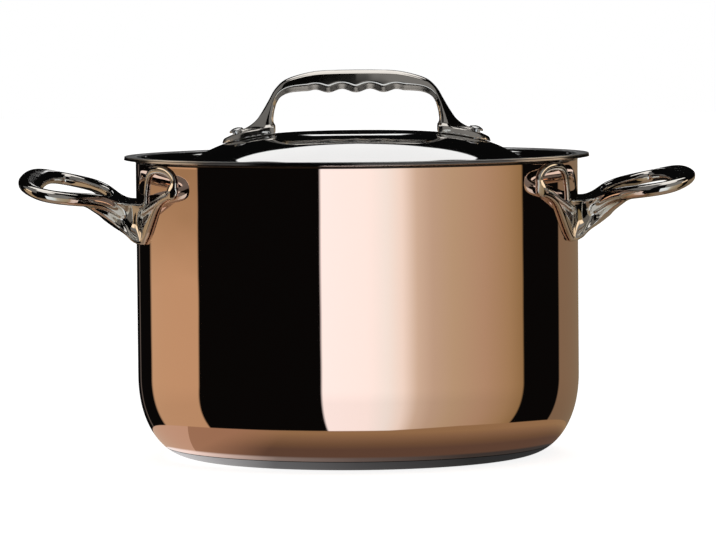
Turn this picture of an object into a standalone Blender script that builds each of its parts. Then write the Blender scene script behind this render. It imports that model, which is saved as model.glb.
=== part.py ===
"""Tall two-handled copper pot with a steel lining and an inset domed lid.

Blender 4.5, metres, +Z up.  The origin is the centre of the underside of the
base.  The side handles lie along X, and the lid handle's grip runs along X.
"""
import math

import bmesh
import bpy
from mathutils import Matrix, Vector

# Whole pot
BODY_RADIUS = 0.100         # outside of the straight copper wall
WALL_TOP = 0.1330           # where the straight wall starts to bend out to the lip
ROUND_STEPS = 48            # facets round every turned piece
GAP = 0.0003                # clearance between pieces that touch

# Pot wall, in layers from the outside in
COPPER_WALL = 0.0015
COPPER_LIP = 0.0007
LINING_WALL = 0.0005
LINING_LIP = 0.0004
LIP_BEND = 0.0007           # radius of the outside of the lip's bend
LIP_ANGLE = 80.0            # degrees turned by the bend, so the lip slopes up by the rest
LIP_STRAIGHT = 0.0048       # length of the lip past its bend
HEEL_WIDTH = 0.025          # how far in the rounded lower corner reaches
HEEL_HEIGHT = 0.037         # how far up it reaches
HEEL_POWER = 2.15           # 2 is an ellipse, more is squarer
DISC_HEIGHT = 0.0046        # steel base disc, which carries on the corner's curve

# Lid
LID_THICK = 0.0010
LID_SEAT_ANGLE = 26.0       # degrees round the lip's bend at which the lid's edge rests
DOME_RADIUS = 0.0780        # where the dome meets the sunk brim
DOME_RISE = 0.0149          # height of the dome over that circle
BRIM_DROP = 0.0040          # depth of the brim below the lid's edge
BRIM_SLOPE = 0.0070         # width of the sloping wall from the brim up to the edge

# Lid handle, an arch along X
GRIP_TOP = 0.0278           # top of the grip over the dome's crown
ARCH_OUTER = 0.0465         # half span of the arch's outer side, at the foot of its legs
ARCH_INNER = 0.0376         # half span of its opening
GRIP_HEIGHT = 0.0094
GRIP_HALF_WIDTH = 0.0070
LEG_HALF_WIDTH = 0.0118
SCALLOP_PITCH = 0.0126      # from one finger bump under the grip to the next
SCALLOP_DEPTH = 0.0016
PAD_LENGTH = 0.0233
PAD_HALF_WIDTH = 0.0130
PAD_THICK = 0.0030
LID_RIVET_X = 0.0533
LID_RIVET_Y = 0.0068
LID_RIVET_HEAD = 0.0030
LID_RIVET_DOME = 0.0018
LID_RIVET_SHANK = 0.0018
LID_RIVET_TAIL = 0.0012      # peened end under the lid

# Side handles, whose heights hang from the ears' place under the lip
EAR_DROP = 0.0015           # from the wall's top to the middle of the ear's bar
EAR_RISE = 0.0153           # from the neck's top to the middle of the ear's bar
EAR_BAR = 0.0038            # width of the ear's bar along the wall
EAR_THICK = 0.0026          # how far it stands off the wall
FOOT_DEPTH = 0.0194         # from the neck's top to the foot's lower edge
FOOT_THICK = 0.0034
FOOT_THIN = 0.0024          # thickness of the foot at its lobes
FOOT_BEVEL = 0.0026         # how far in from its edge the foot reaches that thickness
NECK_LENGTH = 0.0125        # from the wall to the finger hole
BAIL_REACH = 0.0466         # from the wall to the middle of the outer bar
BAIL_HALF_SPAN = 0.0560     # from the middle plane to the middle of each arm
NECK_SHARE = 0.509          # half width of the neck's waist, as a share of that
LOBE_OVERHANG = 0.0025      # how far each lobe's middle lies outside the middle of an arm
BAIL_WIDTH = 0.0092         # of its two arms
OUTER_BAR_WIDTH = 0.0108
BAIL_HEIGHT = 0.0058
BAIL_RISE = 0.0117          # climb of the bail's top over the neck's
HOLE_SLANT = 0.0042         # how much further out the finger hole starts for each 10 mm down
LOBE_RISE = 0.0058          # lobe centre over the neck's top
LOBE_RADIUS = 0.0038
LOBE_DEPTH = 0.0037         # how far the lobe stands off the wall
WALL_RIVET_SHANK = 0.0024
WALL_RIVET_HEAD = 0.0055
WALL_RIVET_DOME = 0.0020
LOWER_RIVET_DROP = 0.0122   # from the neck's top to the lower rivet
LEFT_TWIST = 0.030          # drop of the bail's near arm for each metre from the middle plane
RIGHT_TWIST = 0.006

# Values worked out from those above
COPPER_BOTTOM = DISC_HEIGHT + GAP
LINING_RADIUS = BODY_RADIUS - COPPER_WALL - GAP - LINING_WALL
NECK_TOP = WALL_TOP - EAR_DROP - EAR_RISE
NECK_HALF_WIDTH = NECK_SHARE * BAIL_HALF_SPAN
LOBE_ANGLE = math.degrees(math.asin((BAIL_HALF_SPAN + LOBE_OVERHANG) / BODY_RADIUS))


def clear_scene():
    for old in list(bpy.data.objects):
        bpy.data.objects.remove(old, do_unlink=True)


def material(name, colour, roughness, metallic=1.0):
    """A Principled material with one colour."""
    made = bpy.data.materials.new(name)
    made.use_nodes = True
    shader = made.node_tree.nodes["Principled BSDF"]
    shader.inputs["Base Color"].default_value = (*colour, 1.0)
    shader.inputs["Roughness"].default_value = roughness
    shader.inputs["Metallic"].default_value = metallic
    made.diffuse_color = (*colour, 1.0)
    return made


def add_object(name, bm, look=None, sharp=35.0):
    """Turn a bmesh into a named object, shaded smooth with its edges kept sharp."""
    bmesh.ops.recalc_face_normals(bm, faces=bm.faces)
    mesh = bpy.data.meshes.new(name)
    bm.to_mesh(mesh)
    bm.free()
    mesh.shade_smooth()
    mesh.set_sharp_from_angle(angle=math.radians(sharp))
    made = bpy.data.objects.new(name, mesh)
    bpy.context.scene.collection.objects.link(made)
    if look:
        mesh.materials.append(look)
    return made


def turned(name, profile, look=None, steps=ROUND_STEPS):
    """Spin a profile of (radius, height) points, which starts and ends on the axis."""
    bm = bmesh.new()
    points = [bm.verts.new((radius, 0.0, height)) for radius, height in profile]
    edges = [bm.edges.new(pair) for pair in zip(points, points[1:])]
    bmesh.ops.spin(
        bm,
        geom=points + edges,
        axis=(0, 0, 1),
        cent=(0, 0, 0),
        angle=2.0 * math.pi,
        steps=steps,
        use_merge=True,
    )
    bmesh.ops.remove_doubles(bm, verts=bm.verts, dist=1e-6)
    bmesh.ops.dissolve_degenerate(bm, edges=bm.edges, dist=1e-7)
    return add_object(name, bm, look)


def loft(name, rings, look=None, sharp=35.0):
    """Skin a row of rings that have the same number of points, and cap both ends."""
    bm = bmesh.new()
    rows = [[bm.verts.new(point) for point in ring] for ring in rings]
    count = len(rows[0])
    for low, high in zip(rows, rows[1:]):
        for i in range(count):
            j = (i + 1) % count
            bm.faces.new((low[i], low[j], high[j], high[i]))
    bm.faces.new(rows[0])
    bm.faces.new(reversed(rows[-1]))
    return add_object(name, bm, look, sharp)


def hide_helper(helper):
    helper.hide_render = True
    helper.display_type = "WIRE"
    return helper


def boolean(target, helper, operation):
    """Join a helper to the target, or cut it out of it."""
    step = target.modifiers.new(operation.title() + " " + helper.name, "BOOLEAN")
    step.operation = operation
    step.solver = "EXACT"
    step.object = hide_helper(helper)


def smooth_path(points, pieces):
    """Points along a Catmull-Rom curve through the given ones."""
    padded = [2 * points[0] - points[1]] + points + [2 * points[-1] - points[-2]]
    path = []
    for a, b, c, d in zip(padded, padded[1:], padded[2:], padded[3:]):
        for i in range(pieces):
            t = i / pieces
            swing = (c - a) * t + (2 * a - 5 * b + 4 * c - d) * t ** 2
            swing += (3 * b - a - 3 * c + d) * t ** 3
            path.append(b + swing / 2)
    path.append(points[-1])
    return path


def between(value, table):
    """Read a value from a short table of (place, value) pairs, straight between them."""
    if value <= table[0][0]:
        return table[0][1]
    for (left, low), (right, high) in zip(table, table[1:]):
        if value <= right:
            return low + (high - low) * (value - left) / (right - left)
    return table[-1][1]


def offset_profile(profile, thickness):
    """Move each point of a profile towards the inside of the pot by its own thickness."""
    moved = []
    for i, (radius, height) in enumerate(profile):
        before = profile[max(i - 1, 0)]
        after = profile[min(i + 1, len(profile) - 1)]
        along = Vector((after[0] - before[0], after[1] - before[1])).normalized()
        inward = Vector((-along.y, along.x)) * thickness[i]
        moved.append((max(radius + inward.x, 0.0), height + inward.y))
    moved[0] = (0.0, profile[0][1] + thickness[0])
    return moved


def heel_point(turn):
    """A point of the rounded lower corner, which is a quarter of a superellipse."""
    across = math.sin(turn) ** (2 / HEEL_POWER)
    up = 1 - math.cos(turn) ** (2 / HEEL_POWER)
    return BODY_RADIUS - HEEL_WIDTH * (1 - across), HEEL_HEIGHT * up


def heel_turn(height):
    """How far round the corner a height lies."""
    return math.acos((1 - height / HEEL_HEIGHT) ** (HEEL_POWER / 2))


def pot_outside():
    """The copper's outside from the middle of its bottom to the edge of the lip."""
    profile = [(0.0, COPPER_BOTTOM)]
    start = heel_turn(COPPER_BOTTOM)
    heel_steps = 6
    for i in range(heel_steps + 1):
        profile.append(heel_point(start + (math.pi / 2 - start) * i / heel_steps))
    bend_steps = 3
    for i in range(bend_steps + 1):
        turn = math.radians(LIP_ANGLE) * i / bend_steps
        out = LIP_BEND * (1 - math.cos(turn))
        profile.append((BODY_RADIUS + out, WALL_TOP + LIP_BEND * math.sin(turn)))
    slope = math.radians(90 - LIP_ANGLE)
    radius, height = profile[-1]
    profile.append((radius + LIP_STRAIGHT * math.cos(slope), height + LIP_STRAIGHT * math.sin(slope)))
    return profile


def layer(profile, wall, lip):
    """Thickness at each point of the profile: wall below the bend, thinning to the lip's edge."""
    span = LIP_BEND + LIP_STRAIGHT
    sizes = []
    for radius, height in profile:
        share = (radius - BODY_RADIUS) / span
        sizes.append(wall + (lip - wall) * min(max(share, 0.0), 1.0))
    return sizes


def pot_layers():
    """Profiles of the copper's two faces and the lining's two faces."""
    outside = pot_outside()
    copper = layer(outside, COPPER_WALL, COPPER_LIP)
    lining = layer(outside, LINING_WALL, LINING_LIP)
    to_lining = [thick + GAP for thick in copper]
    to_inside = [gap + thick for gap, thick in zip(to_lining, lining)]
    inside = [outside, offset_profile(outside, copper)]
    inside.append(offset_profile(outside, to_lining))
    inside.append(offset_profile(outside, to_inside))
    return inside


def copper_shell(look):
    outside, inside, _, _ = pot_layers()
    return turned("copper_pot_shell", outside + inside[::-1], look)


def steel_lining(look):
    _, _, outside, inside = pot_layers()
    return turned("steel_lining", outside + inside[::-1], look)


def base_disc(look):
    """Steel disc whose rim is the lowest stretch of the pot's rounded corner."""
    profile = [(0.0, 0.0)]
    steps = 4
    for i in range(steps + 1):
        profile.append(heel_point(heel_turn(DISC_HEIGHT) * i / steps))
    profile.append((0.0, DISC_HEIGHT))
    return turned("magnetic_base_disc", profile, look)


def lid_edge():
    """Where the underside of the lid's edge rests, one gap off the lip's bend."""
    inward = BODY_RADIUS - LINING_RADIUS
    radius = LIP_BEND + inward + GAP
    turn = math.radians(LID_SEAT_ANGLE)
    out = BODY_RADIUS + LIP_BEND - radius * math.cos(turn)
    return out, WALL_TOP + radius * math.sin(turn)


def brim_height():
    return lid_edge()[1] + LID_THICK - BRIM_DROP


def dome_height(radius):
    """Top face of the dome: flat in the middle and steep at its foot."""
    return brim_height() + DOME_RISE * (1 - (radius / DOME_RADIUS) ** 4)


def lid_shell(look):
    """Dome, sunk brim and raised edge, one sheet thick."""
    edge_radius, edge_height = lid_edge()
    brim = brim_height()
    top = []
    dome_steps = 6
    for i in range(dome_steps + 1):
        radius = DOME_RADIUS * math.sqrt(i / dome_steps)
        top.append((radius, dome_height(radius)))
    brim_end = edge_radius - BRIM_SLOPE
    top.append((DOME_RADIUS + 0.2 * (brim_end - DOME_RADIUS), brim - 0.1 * BRIM_DROP))
    top.append((brim_end, brim - 0.1 * BRIM_DROP))
    top.append((edge_radius - 0.35 * BRIM_SLOPE, brim + 0.72 * BRIM_DROP))
    top.append((edge_radius, edge_height + LID_THICK))
    under = [(radius, height) for radius, height in offset_profile(top, [-LID_THICK] * len(top))]
    under[0] = (0.0, top[0][1] - LID_THICK)
    under[-1] = (edge_radius, edge_height)
    return turned("lid_shell", under + top[::-1], look)


def pad_ring(x, side):
    """Cross-section of a lid handle's foot pad, its underside following the dome."""
    end = ARCH_INNER + PAD_LENGTH
    from_end = min(max(end - x, 0.0) / PAD_HALF_WIDTH, 1.0)
    half = PAD_HALF_WIDTH * max(math.sqrt(1 - (1 - from_end) ** 2), 0.25)
    bevel = 0.82
    thick = PAD_THICK * (0.6 + 0.4 * min(4 * from_end, 1.0))
    under = []
    over = []
    for share in (-1.0, -0.55, 0.0, 0.55, 1.0):
        y = share * half
        under.append(Vector((side * x, y, dome_height(math.hypot(x, y)) + GAP)))
    for share in (1.0, 0.55, 0.0, -0.55, -1.0):
        y = share * half
        base = dome_height(math.hypot(x, y)) + GAP
        over.append(Vector((side * x, y * (bevel if abs(share) == 1.0 else 1.0), base + thick)))
    return under + over


def foot_pad(name, side):
    steps = 10
    start = ARCH_INNER - GAP
    rings = []
    for i in range(steps + 1):
        share = 1 - (1 - i / steps) ** 1.8
        rings.append(pad_ring(start + (ARCH_INNER + PAD_LENGTH - start) * share, side))
    return loft(name, rings)


def arch_side(table, span, low, high):
    """Half of one side of the arch in the XZ plane, from the middle of the grip to the foot."""
    points = [Vector((span * across, 0.0, low + (high - low) * up)) for across, up in table]
    return smooth_path(points, 4)


def arch_half():
    """Pairs of inner and outer points from the middle of the grip down to one foot."""
    crown = dome_height(0.0) + GRIP_TOP
    foot = dome_height(ARCH_OUTER) + PAD_THICK
    outer = [(0.0, 1.0), (0.20, 0.996), (0.39, 0.98), (0.56, 0.92), (0.70, 0.83), (0.79, 0.68)]
    outer += [(0.85, 0.50), (0.91, 0.32), (0.97, 0.17), (1.05, 0.05), (1.10, 0.0)]
    inner = [(0.0, 1.0), (0.24, 1.0), (0.47, 1.0), (0.66, 0.99), (0.80, 0.955), (0.90, 0.86)]
    inner += [(0.955, 0.70), (0.985, 0.50), (1.0, 0.30), (1.0, 0.10), (1.0, -0.06)]
    inner_side = arch_side(inner, ARCH_INNER, foot, crown - GRIP_HEIGHT)
    return inner_side, arch_side(outer, ARCH_OUTER, foot, crown)


def scallop(x):
    """How far the finger bumps reach down at a place along the grip."""
    fade = max(1 - (abs(x) / (1.8 * SCALLOP_PITCH)) ** 6, 0.0)
    return SCALLOP_DEPTH / 2 * math.cos(2 * math.pi * x / SCALLOP_PITCH) * fade


def arch_ring(inner, outer, low):
    """Cross-section of the arch: ten points round, wider towards the feet."""
    half = GRIP_HALF_WIDTH + (LEG_HALF_WIDTH - GRIP_HALF_WIDTH) * low
    right = [(0.0, 0.55), (0.10, 0.86), (0.26, 1.0), (0.80, 0.95), (1.0, 0.60)]
    ring = [(share, width) for share, width in right] + [(share, -width) for share, width in right[::-1]]
    return [inner.lerp(outer, share) + Vector((0.0, width * half, 0.0)) for share, width in ring]


def lid_handle(look, rivets):
    """Cast arch with two foot pads, bored for its rivets."""
    inner_side, outer_side = arch_half()
    foot = outer_side[-1].z
    height = outer_side[0].z - foot
    half = []
    for inner, outer in zip(inner_side, outer_side):
        low = (1 - (outer.z - foot) / height) ** 2
        bumped = inner - Vector((0.0, 0.0, scallop(inner.x)))
        half.append(arch_ring(bumped, outer, low))
    mirrored = [[Vector((-point.x, point.y, point.z)) for point in ring] for ring in half[:0:-1]]
    handle = loft("lid_handle", mirrored + half, look)
    boolean(handle, foot_pad("left_foot_pad", -1), "UNION")
    boolean(handle, foot_pad("right_foot_pad", 1), "UNION")
    for x, y in rivets:
        bore = cylinder("handle_bore", LID_RIVET_SHANK + GAP, 4 * PAD_THICK)
        bore.data.transform(lid_rivet_matrix(x, y))
        boolean(handle, bore, "DIFFERENCE")
    return handle


def cylinder(name, radius, depth, sides=12):
    """A plain cylinder along Z about its own middle."""
    bm = bmesh.new()
    bmesh.ops.create_cone(bm, cap_ends=True, segments=sides, radius1=radius, radius2=radius, depth=depth)
    return add_object(name, bm)


def rivet(name, look, grip, shank, head, dome, tail):
    """A rivet along +Z: its tail ends below zero and its domed head sits at the top.

    grip is the length of shank between the underside of the head and the tail.
    """
    profile = [(0.0, -tail), (shank, -tail), (shank, grip)]
    profile.append((head, grip))
    steps = 4
    for i in range(1, steps):
        turn = math.pi / 2 * i / steps
        profile.append((head * math.cos(turn), grip + dome * (0.3 + 0.7 * math.sin(turn))))
    profile.append((0.0, grip + dome))
    return turned(name, profile, look, 12)


def lid_rivet_matrix(x, y):
    """Frame of a lid rivet: +Z square to the dome, from the dome's top face."""
    radius = math.hypot(x, y)
    head = LID_RIVET_HEAD
    slope = (dome_height(radius + head) - dome_height(radius - head)) / (2 * head)
    out = Vector((x, y, 0.0)).normalized()
    normal = Vector((0.0, 0.0, 1.0)) - out * slope
    place = Vector((x, y, dome_height(radius)))
    return Matrix.Translation(place) @ normal.to_track_quat("Z", "Y").to_matrix().to_4x4()


def lid_rivet(name, look, x, y):
    """Domed head on the pad, shank through pad and lid, and a peened tail inside."""
    shank = LID_RIVET_SHANK
    head = LID_RIVET_HEAD
    top = PAD_THICK + 3 * GAP
    bottom = -LID_THICK - 2 * GAP
    profile = [(0.0, bottom - LID_RIVET_TAIL), (0.7 * head, bottom - 0.8 * LID_RIVET_TAIL)]
    profile += [(0.85 * head, bottom), (shank, bottom), (shank, top), (head, top)]
    for degrees in (30, 60):
        turn = math.radians(degrees)
        profile.append((head * math.cos(turn), top + LID_RIVET_DOME * (0.3 + 0.7 * math.sin(turn))))
    profile.append((0.0, top + LID_RIVET_DOME))
    made = turned(name, profile, look, 12)
    made.data.transform(lid_rivet_matrix(x, y))
    return made


def at_wall(angle, height, radius):
    """A point in a handle's own frame: angle round the wall, height and radius."""
    turn = math.radians(angle)
    return Vector((radius * math.cos(turn), radius * math.sin(turn), height))


def reach_share(radius):
    """How far from the wall towards the middle of the outer bar a place lies."""
    return (radius - BODY_RADIUS) / BAIL_REACH


def bail_top(radius):
    """Height of the top of the neck and the bail at a distance from the pot's axis."""
    climb = [(0.08, -0.05), (0.17, 0.07), (0.27, 0.32), (0.34, 0.42), (0.41, 0.50), (0.55, 0.60)]
    climb += [(0.70, 0.70), (0.85, 0.82), (1.0, 1.0)]
    return NECK_TOP + BAIL_RISE * between(reach_share(radius), climb)


def twisted(x, y, height, twist):
    """A point of the bail or neck, whose two arms differ a little in height past the neck."""
    return Vector((x, y, height + twist * y * between(reach_share(x), [(0.0, 0.0), (0.4, 1.0)])))


def bail_route():
    """Half of the bail's middle line in plan, from inside the neck to the middle of the outer bar."""
    plan = [(0.085, 0.36), (0.18, 0.42), (0.275, 0.52), (0.37, 0.66), (0.457, 0.79), (0.553, 0.90)]
    plan += [(0.67, 0.98), (0.787, 1.0), (0.883, 0.93), (0.955, 0.74), (0.99, 0.42), (1.0, 0.0)]
    points = []
    for out, across in plan:
        points.append(Vector((BODY_RADIUS + BAIL_REACH * out, BAIL_HALF_SPAN * across, 0.0)))
    return smooth_path(points, 2)


def bail(name, twist):
    """Rounded bar swept round the finger hole, with both ends inside the neck."""
    half = bail_route()
    path = [Vector((p.x, -p.y, 0.0)) for p in half[:-1]] + half[::-1]
    widen = [(0.80, BAIL_WIDTH), (1.0, OUTER_BAR_WIDTH)]
    rings = []
    sides = 8
    for i, middle in enumerate(path):
        along = (path[min(i + 1, len(path) - 1)] - path[max(i - 1, 0)]).normalized()
        across = Vector((along.y, -along.x, 0.0))
        centre = bail_top(middle.x) - BAIL_HEIGHT / 2
        width = between(reach_share(middle.x), widen)
        ring = []
        for j in range(sides):
            turn = 2 * math.pi * (j + 0.5) / sides
            side = math.copysign(abs(math.cos(turn)) ** 0.8, math.cos(turn))
            rise = math.copysign(abs(math.sin(turn)) ** 0.8, math.sin(turn))
            point = middle + across * side * width / 2
            ring.append(twisted(point.x, point.y, centre + rise * BAIL_HEIGHT / 2, twist))
        rings.append(ring)
    return loft(name, rings)


def neck(name, look, twist):
    """Tongue from the wall to the bail's arms: waisted, its sides scooped, and keeled below."""
    stations = [
        # distance, top half width, waist width and depth, ridge width and depth, keel depth
        (-0.24, 1.28, 1.14, 0.41, 1.40, 0.93, 0.97),
        (0.08, 1.17, 1.03, 0.41, 1.30, 0.90, 0.955),
        (0.28, 1.05, 0.90, 0.38, 1.08, 0.68, 0.84),
        (0.48, 1.00, 0.84, 0.36, 0.98, 0.58, 0.79),
        (0.72, 1.07, 0.93, 0.33, 1.00, 0.54, 0.79),
        (0.96, 1.20, 1.10, 0.31, 1.08, 0.50, 0.77),
        (1.20, 1.38, 1.30, 0.30, 1.24, 0.46, 0.70),
        (1.44, 1.57, 1.52, 0.29, 1.45, 0.40, 0.58),
        (1.68, 1.72, 1.68, 0.27, 1.62, 0.32, 0.43),
        (1.90, 1.74, 1.72, 0.20, 1.70, 0.25, 0.27),
    ]
    edge = 0.0012
    rings = []
    for out, top, waist, waist_depth, ridge, ridge_depth, keel in stations:
        x = BODY_RADIUS + out * NECK_LENGTH
        half = [(0.0, 0.0), (top - 2 * edge / NECK_HALF_WIDTH, 0.0), (top, edge / FOOT_DEPTH)]
        half += [(0.4 * top + 0.6 * waist, 0.6 * waist_depth), (waist, waist_depth)]
        half += [(0.35 * waist + 0.65 * ridge, 0.4 * waist_depth + 0.6 * ridge_depth)]
        half += [(ridge, ridge_depth)]
        half += [(0.55 * ridge, 0.3 * ridge_depth + 0.7 * keel), (0.0, keel)]
        both = half + [(-across, depth) for across, depth in half[-2:0:-1]]
        high = bail_top(x) + GAP
        ring = []
        for across, depth in both:
            ring.append(twisted(x, across * NECK_HALF_WIDTH, high - depth * FOOT_DEPTH, twist))
        rings.append(ring)
    return loft(name, rings, look)


def finger_hole(name):
    """Cutter for the inner end of the finger hole, whose wall slopes outwards going down."""
    start = BODY_RADIUS + NECK_LENGTH
    plan = [(0.000, 0.0), (0.0003, 0.18), (0.0013, 0.34), (0.0035, 0.50), (0.0070, 0.63), (0.0110, 0.76)]
    plan += [(0.0180, 0.80)]
    half = [(start + out, BAIL_HALF_SPAN * across) for out, across in plan]
    outline = half + [(x, -y) for x, y in half[:0:-1]]
    rings = []
    for over in (0.5 * FOOT_DEPTH, -1.1 * FOOT_DEPTH):
        ring = []
        for x, y in outline:
            share = max(1 - abs(y) / (0.7 * BAIL_HALF_SPAN), 0.0)
            slant = -over * HOLE_SLANT / 0.010 * share * (1.0 if x < start + 0.0150 else 0.0)
            ring.append(Vector((x + slant, y, NECK_TOP + over)))
        rings.append(ring)
    return loft(name, rings)


def foot_low(angle):
    """Lower edge of the foot: flat in the middle and rising towards the lobes."""
    rise = [(0.489, 0.0), (0.550, 0.0010), (0.625, 0.0042), (0.712, 0.0102), (0.835, 0.0186)]
    rise += [(1.0, 0.0218)]
    return NECK_TOP - FOOT_DEPTH + between(abs(angle) / LOBE_ANGLE, rise)


def foot_high(angle):
    """Upper edge of the foot: below the neck's top, then climbing to the lobes."""
    rise = [(0.545, -0.0022), (0.628, -0.0006), (0.754, 0.0019), (0.866, 0.0047), (1.0, 0.0070)]
    return NECK_TOP + between(abs(angle) / LOBE_ANGLE, rise)


def foot(name):
    """Curved plate that lies on the wall and carries the lobes."""
    steps = 20
    inner = BODY_RADIUS - FOOT_THICK
    edge = BODY_RADIUS + GAP + 0.35 * FOOT_THIN
    rings = []
    for i in range(steps + 1):
        angle = LOBE_ANGLE * (2 * i / steps - 1)
        thick = FOOT_THICK + (FOOT_THIN - FOOT_THICK) * (angle / LOBE_ANGLE) ** 2
        outer = BODY_RADIUS + GAP + thick
        low = foot_low(angle)
        high = foot_high(angle)
        bevel = min(FOOT_BEVEL, 0.35 * (high - low))
        ring = [at_wall(angle, low, inner), at_wall(angle, low, edge)]
        ring += [at_wall(angle, low + bevel, outer), at_wall(angle, high - bevel, outer)]
        ring += [at_wall(angle, high, edge), at_wall(angle, high, inner)]
        rings.append(ring)
    return loft(name, rings)


def ear(name, side):
    """Arched bar standing on the wall from the neck's side to a lobe."""
    route = [(0.559, -0.14), (0.575, 0.30), (0.620, 0.73), (0.693, 0.94), (0.799, 1.0)]
    route += [(0.911, 0.97), (0.989, 0.84), (1.025, 0.63), (1.0, LOBE_RISE / EAR_RISE)]
    arc = math.radians(1.0) * BODY_RADIUS
    plan = [Vector((LOBE_ANGLE * turn * arc, EAR_RISE * up, 0.0)) for turn, up in route]
    path = smooth_path(plan, 2)
    rings = []
    sides = 8
    for i, middle in enumerate(path):
        along = (path[min(i + 1, len(path) - 1)] - path[max(i - 1, 0)]).normalized()
        across = Vector((-along.y, along.x, 0.0))
        ring = []
        for j in range(sides):
            turn = 2 * math.pi * (j + 0.5) / sides
            point = middle + across * math.cos(turn) * EAR_BAR / 2
            out = (0.4 + 0.6 * math.sin(turn)) * EAR_THICK
            ring.append(at_wall(side * point.x / arc, NECK_TOP + point.y, BODY_RADIUS + out))
        rings.append(ring)
    return loft(name, rings)


def lobe(name, side):
    """Round boss over each upper rivet."""
    bm = bmesh.new()
    bmesh.ops.create_uvsphere(bm, u_segments=12, v_segments=8, radius=1.0)
    made = add_object(name, bm)
    place = at_wall(side * LOBE_ANGLE, NECK_TOP + LOBE_RISE, BODY_RADIUS)
    turn = Vector((place.x, place.y, 0.0)).to_track_quat("Z", "Y").to_matrix().to_4x4()
    scale = Matrix.Diagonal((LOBE_RADIUS, LOBE_RADIUS, LOBE_DEPTH, 1.0))
    made.data.transform(Matrix.Translation(place) @ turn @ scale)
    return made


def wall_cutter(name, steps=ROUND_STEPS):
    """Everything inside the outside of the pot's wall, one gap larger."""
    radius = BODY_RADIUS + GAP
    top = WALL_TOP + 0.02
    return turned(name, [(0.0, 0.0), (radius, 0.0), (radius, top), (0.0, top)], steps=steps)


def rivet_places():
    """Angle and height of the three rivets of one side handle."""
    upper = NECK_TOP + LOBE_RISE
    return [(LOBE_ANGLE, upper), (-LOBE_ANGLE, upper), (0.0, NECK_TOP - LOWER_RIVET_DROP)]


def rivet_matrix(angle, height, heading):
    """Frame of a wall rivet: +Z points to the pot's axis, from the middle of the wall."""
    turn = math.radians(angle + heading)
    out = Vector((math.cos(turn), math.sin(turn), 0.0))
    place = out * BODY_RADIUS
    place.z = height
    return Matrix.Translation(place) @ (-out).to_track_quat("Z", "Y").to_matrix().to_4x4()


def rivet_depth():
    """How far a wall rivet's shank reaches into the casting."""
    return GAP + 0.6 * FOOT_THIN


def side_handle(name, look, heading, twist):
    """Casting with its neck, bail, foot, two ears and two lobes, cut to the wall."""
    handle = neck(name, look, twist)
    boolean(handle, finger_hole(name + "_hole"), "DIFFERENCE")
    boolean(handle, bail(name + "_bail", twist), "UNION")
    boolean(handle, foot(name + "_foot"), "UNION")
    for side in (-1, 1):
        boolean(handle, ear(name + "_ear", side), "UNION")
        boolean(handle, lobe(name + "_lobe", side), "UNION")
    boolean(handle, wall_cutter(name + "_wall"), "DIFFERENCE")
    for angle, height in rivet_places():
        bore = cylinder(name + "_bore", WALL_RIVET_SHANK + GAP, 2 * (rivet_depth() + GAP))
        bore.data.transform(rivet_matrix(angle, height, 0.0))
        boolean(handle, bore, "DIFFERENCE")
    group = bpy.data.objects.new(name + "_place", None)
    bpy.context.scene.collection.objects.link(group)
    group.rotation_euler = (0.0, 0.0, math.radians(heading))
    for helper in [handle] + [step.object for step in handle.modifiers]:
        helper.parent = group
    return handle


def wall_rivet(name, look, angle, height, heading):
    """Shank out of the casting, through both layers, to a domed head inside the pot."""
    through = BODY_RADIUS - LINING_RADIUS
    sag = WALL_RIVET_HEAD ** 2 / (2 * LINING_RADIUS) + BODY_RADIUS * (1 - math.cos(math.pi / ROUND_STEPS))
    grip = through + sag + GAP
    made = rivet(name, look, grip, WALL_RIVET_SHANK, WALL_RIVET_HEAD, WALL_RIVET_DOME, rivet_depth())
    made.data.transform(rivet_matrix(angle, height, heading))
    return made


def bore_wall(shells, angle, height, heading):
    """Cut one rivet's clearance hole through the copper and the lining."""
    hole = cylinder("wall_hole", WALL_RIVET_SHANK + GAP, 0.03)
    hole.data.transform(rivet_matrix(angle, height, heading))
    for shell in shells:
        boolean(shell, hole, "DIFFERENCE")


def build():
    clear_scene()
    copper = material("polished_copper", (0.80, 0.42, 0.24), 0.06)
    polished = material("polished_steel", (0.62, 0.61, 0.60), 0.05)
    brushed = material("brushed_steel", (0.55, 0.55, 0.56), 0.28)
    shells = [copper_shell(copper), steel_lining(brushed)]
    base_disc(brushed)
    sides = (("right", 0.0, RIGHT_TWIST), ("left", 180.0, -LEFT_TWIST))
    for word, heading, twist in sides:
        side_handle(word + "_side_handle", polished, heading, twist)
        names = ("_rivet_a", "_rivet_b", "_rivet_lower")
        for ending, (angle, height) in zip(names, rivet_places()):
            wall_rivet(word + ending, brushed, angle, height, heading)
            bore_wall(shells, angle, height, heading)
    lid = lid_shell(polished)
    places = [(x, y) for x in (-LID_RIVET_X, LID_RIVET_X) for y in (-LID_RIVET_Y, LID_RIVET_Y)]
    lid_handle(polished, places)
    names = ("left_front", "left_back", "right_front", "right_back")
    for word, (x, y) in zip(names, places):
        lid_rivet("lid_rivet_" + word, brushed, x, y)
        hole = cylinder("lid_hole", LID_RIVET_SHANK + GAP, 6 * LID_THICK)
        hole.data.transform(lid_rivet_matrix(x, y))
        boolean(lid, hole, "DIFFERENCE")


build()
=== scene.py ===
import math

import bpy
import numpy as np
from mathutils import Matrix, Vector


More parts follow.
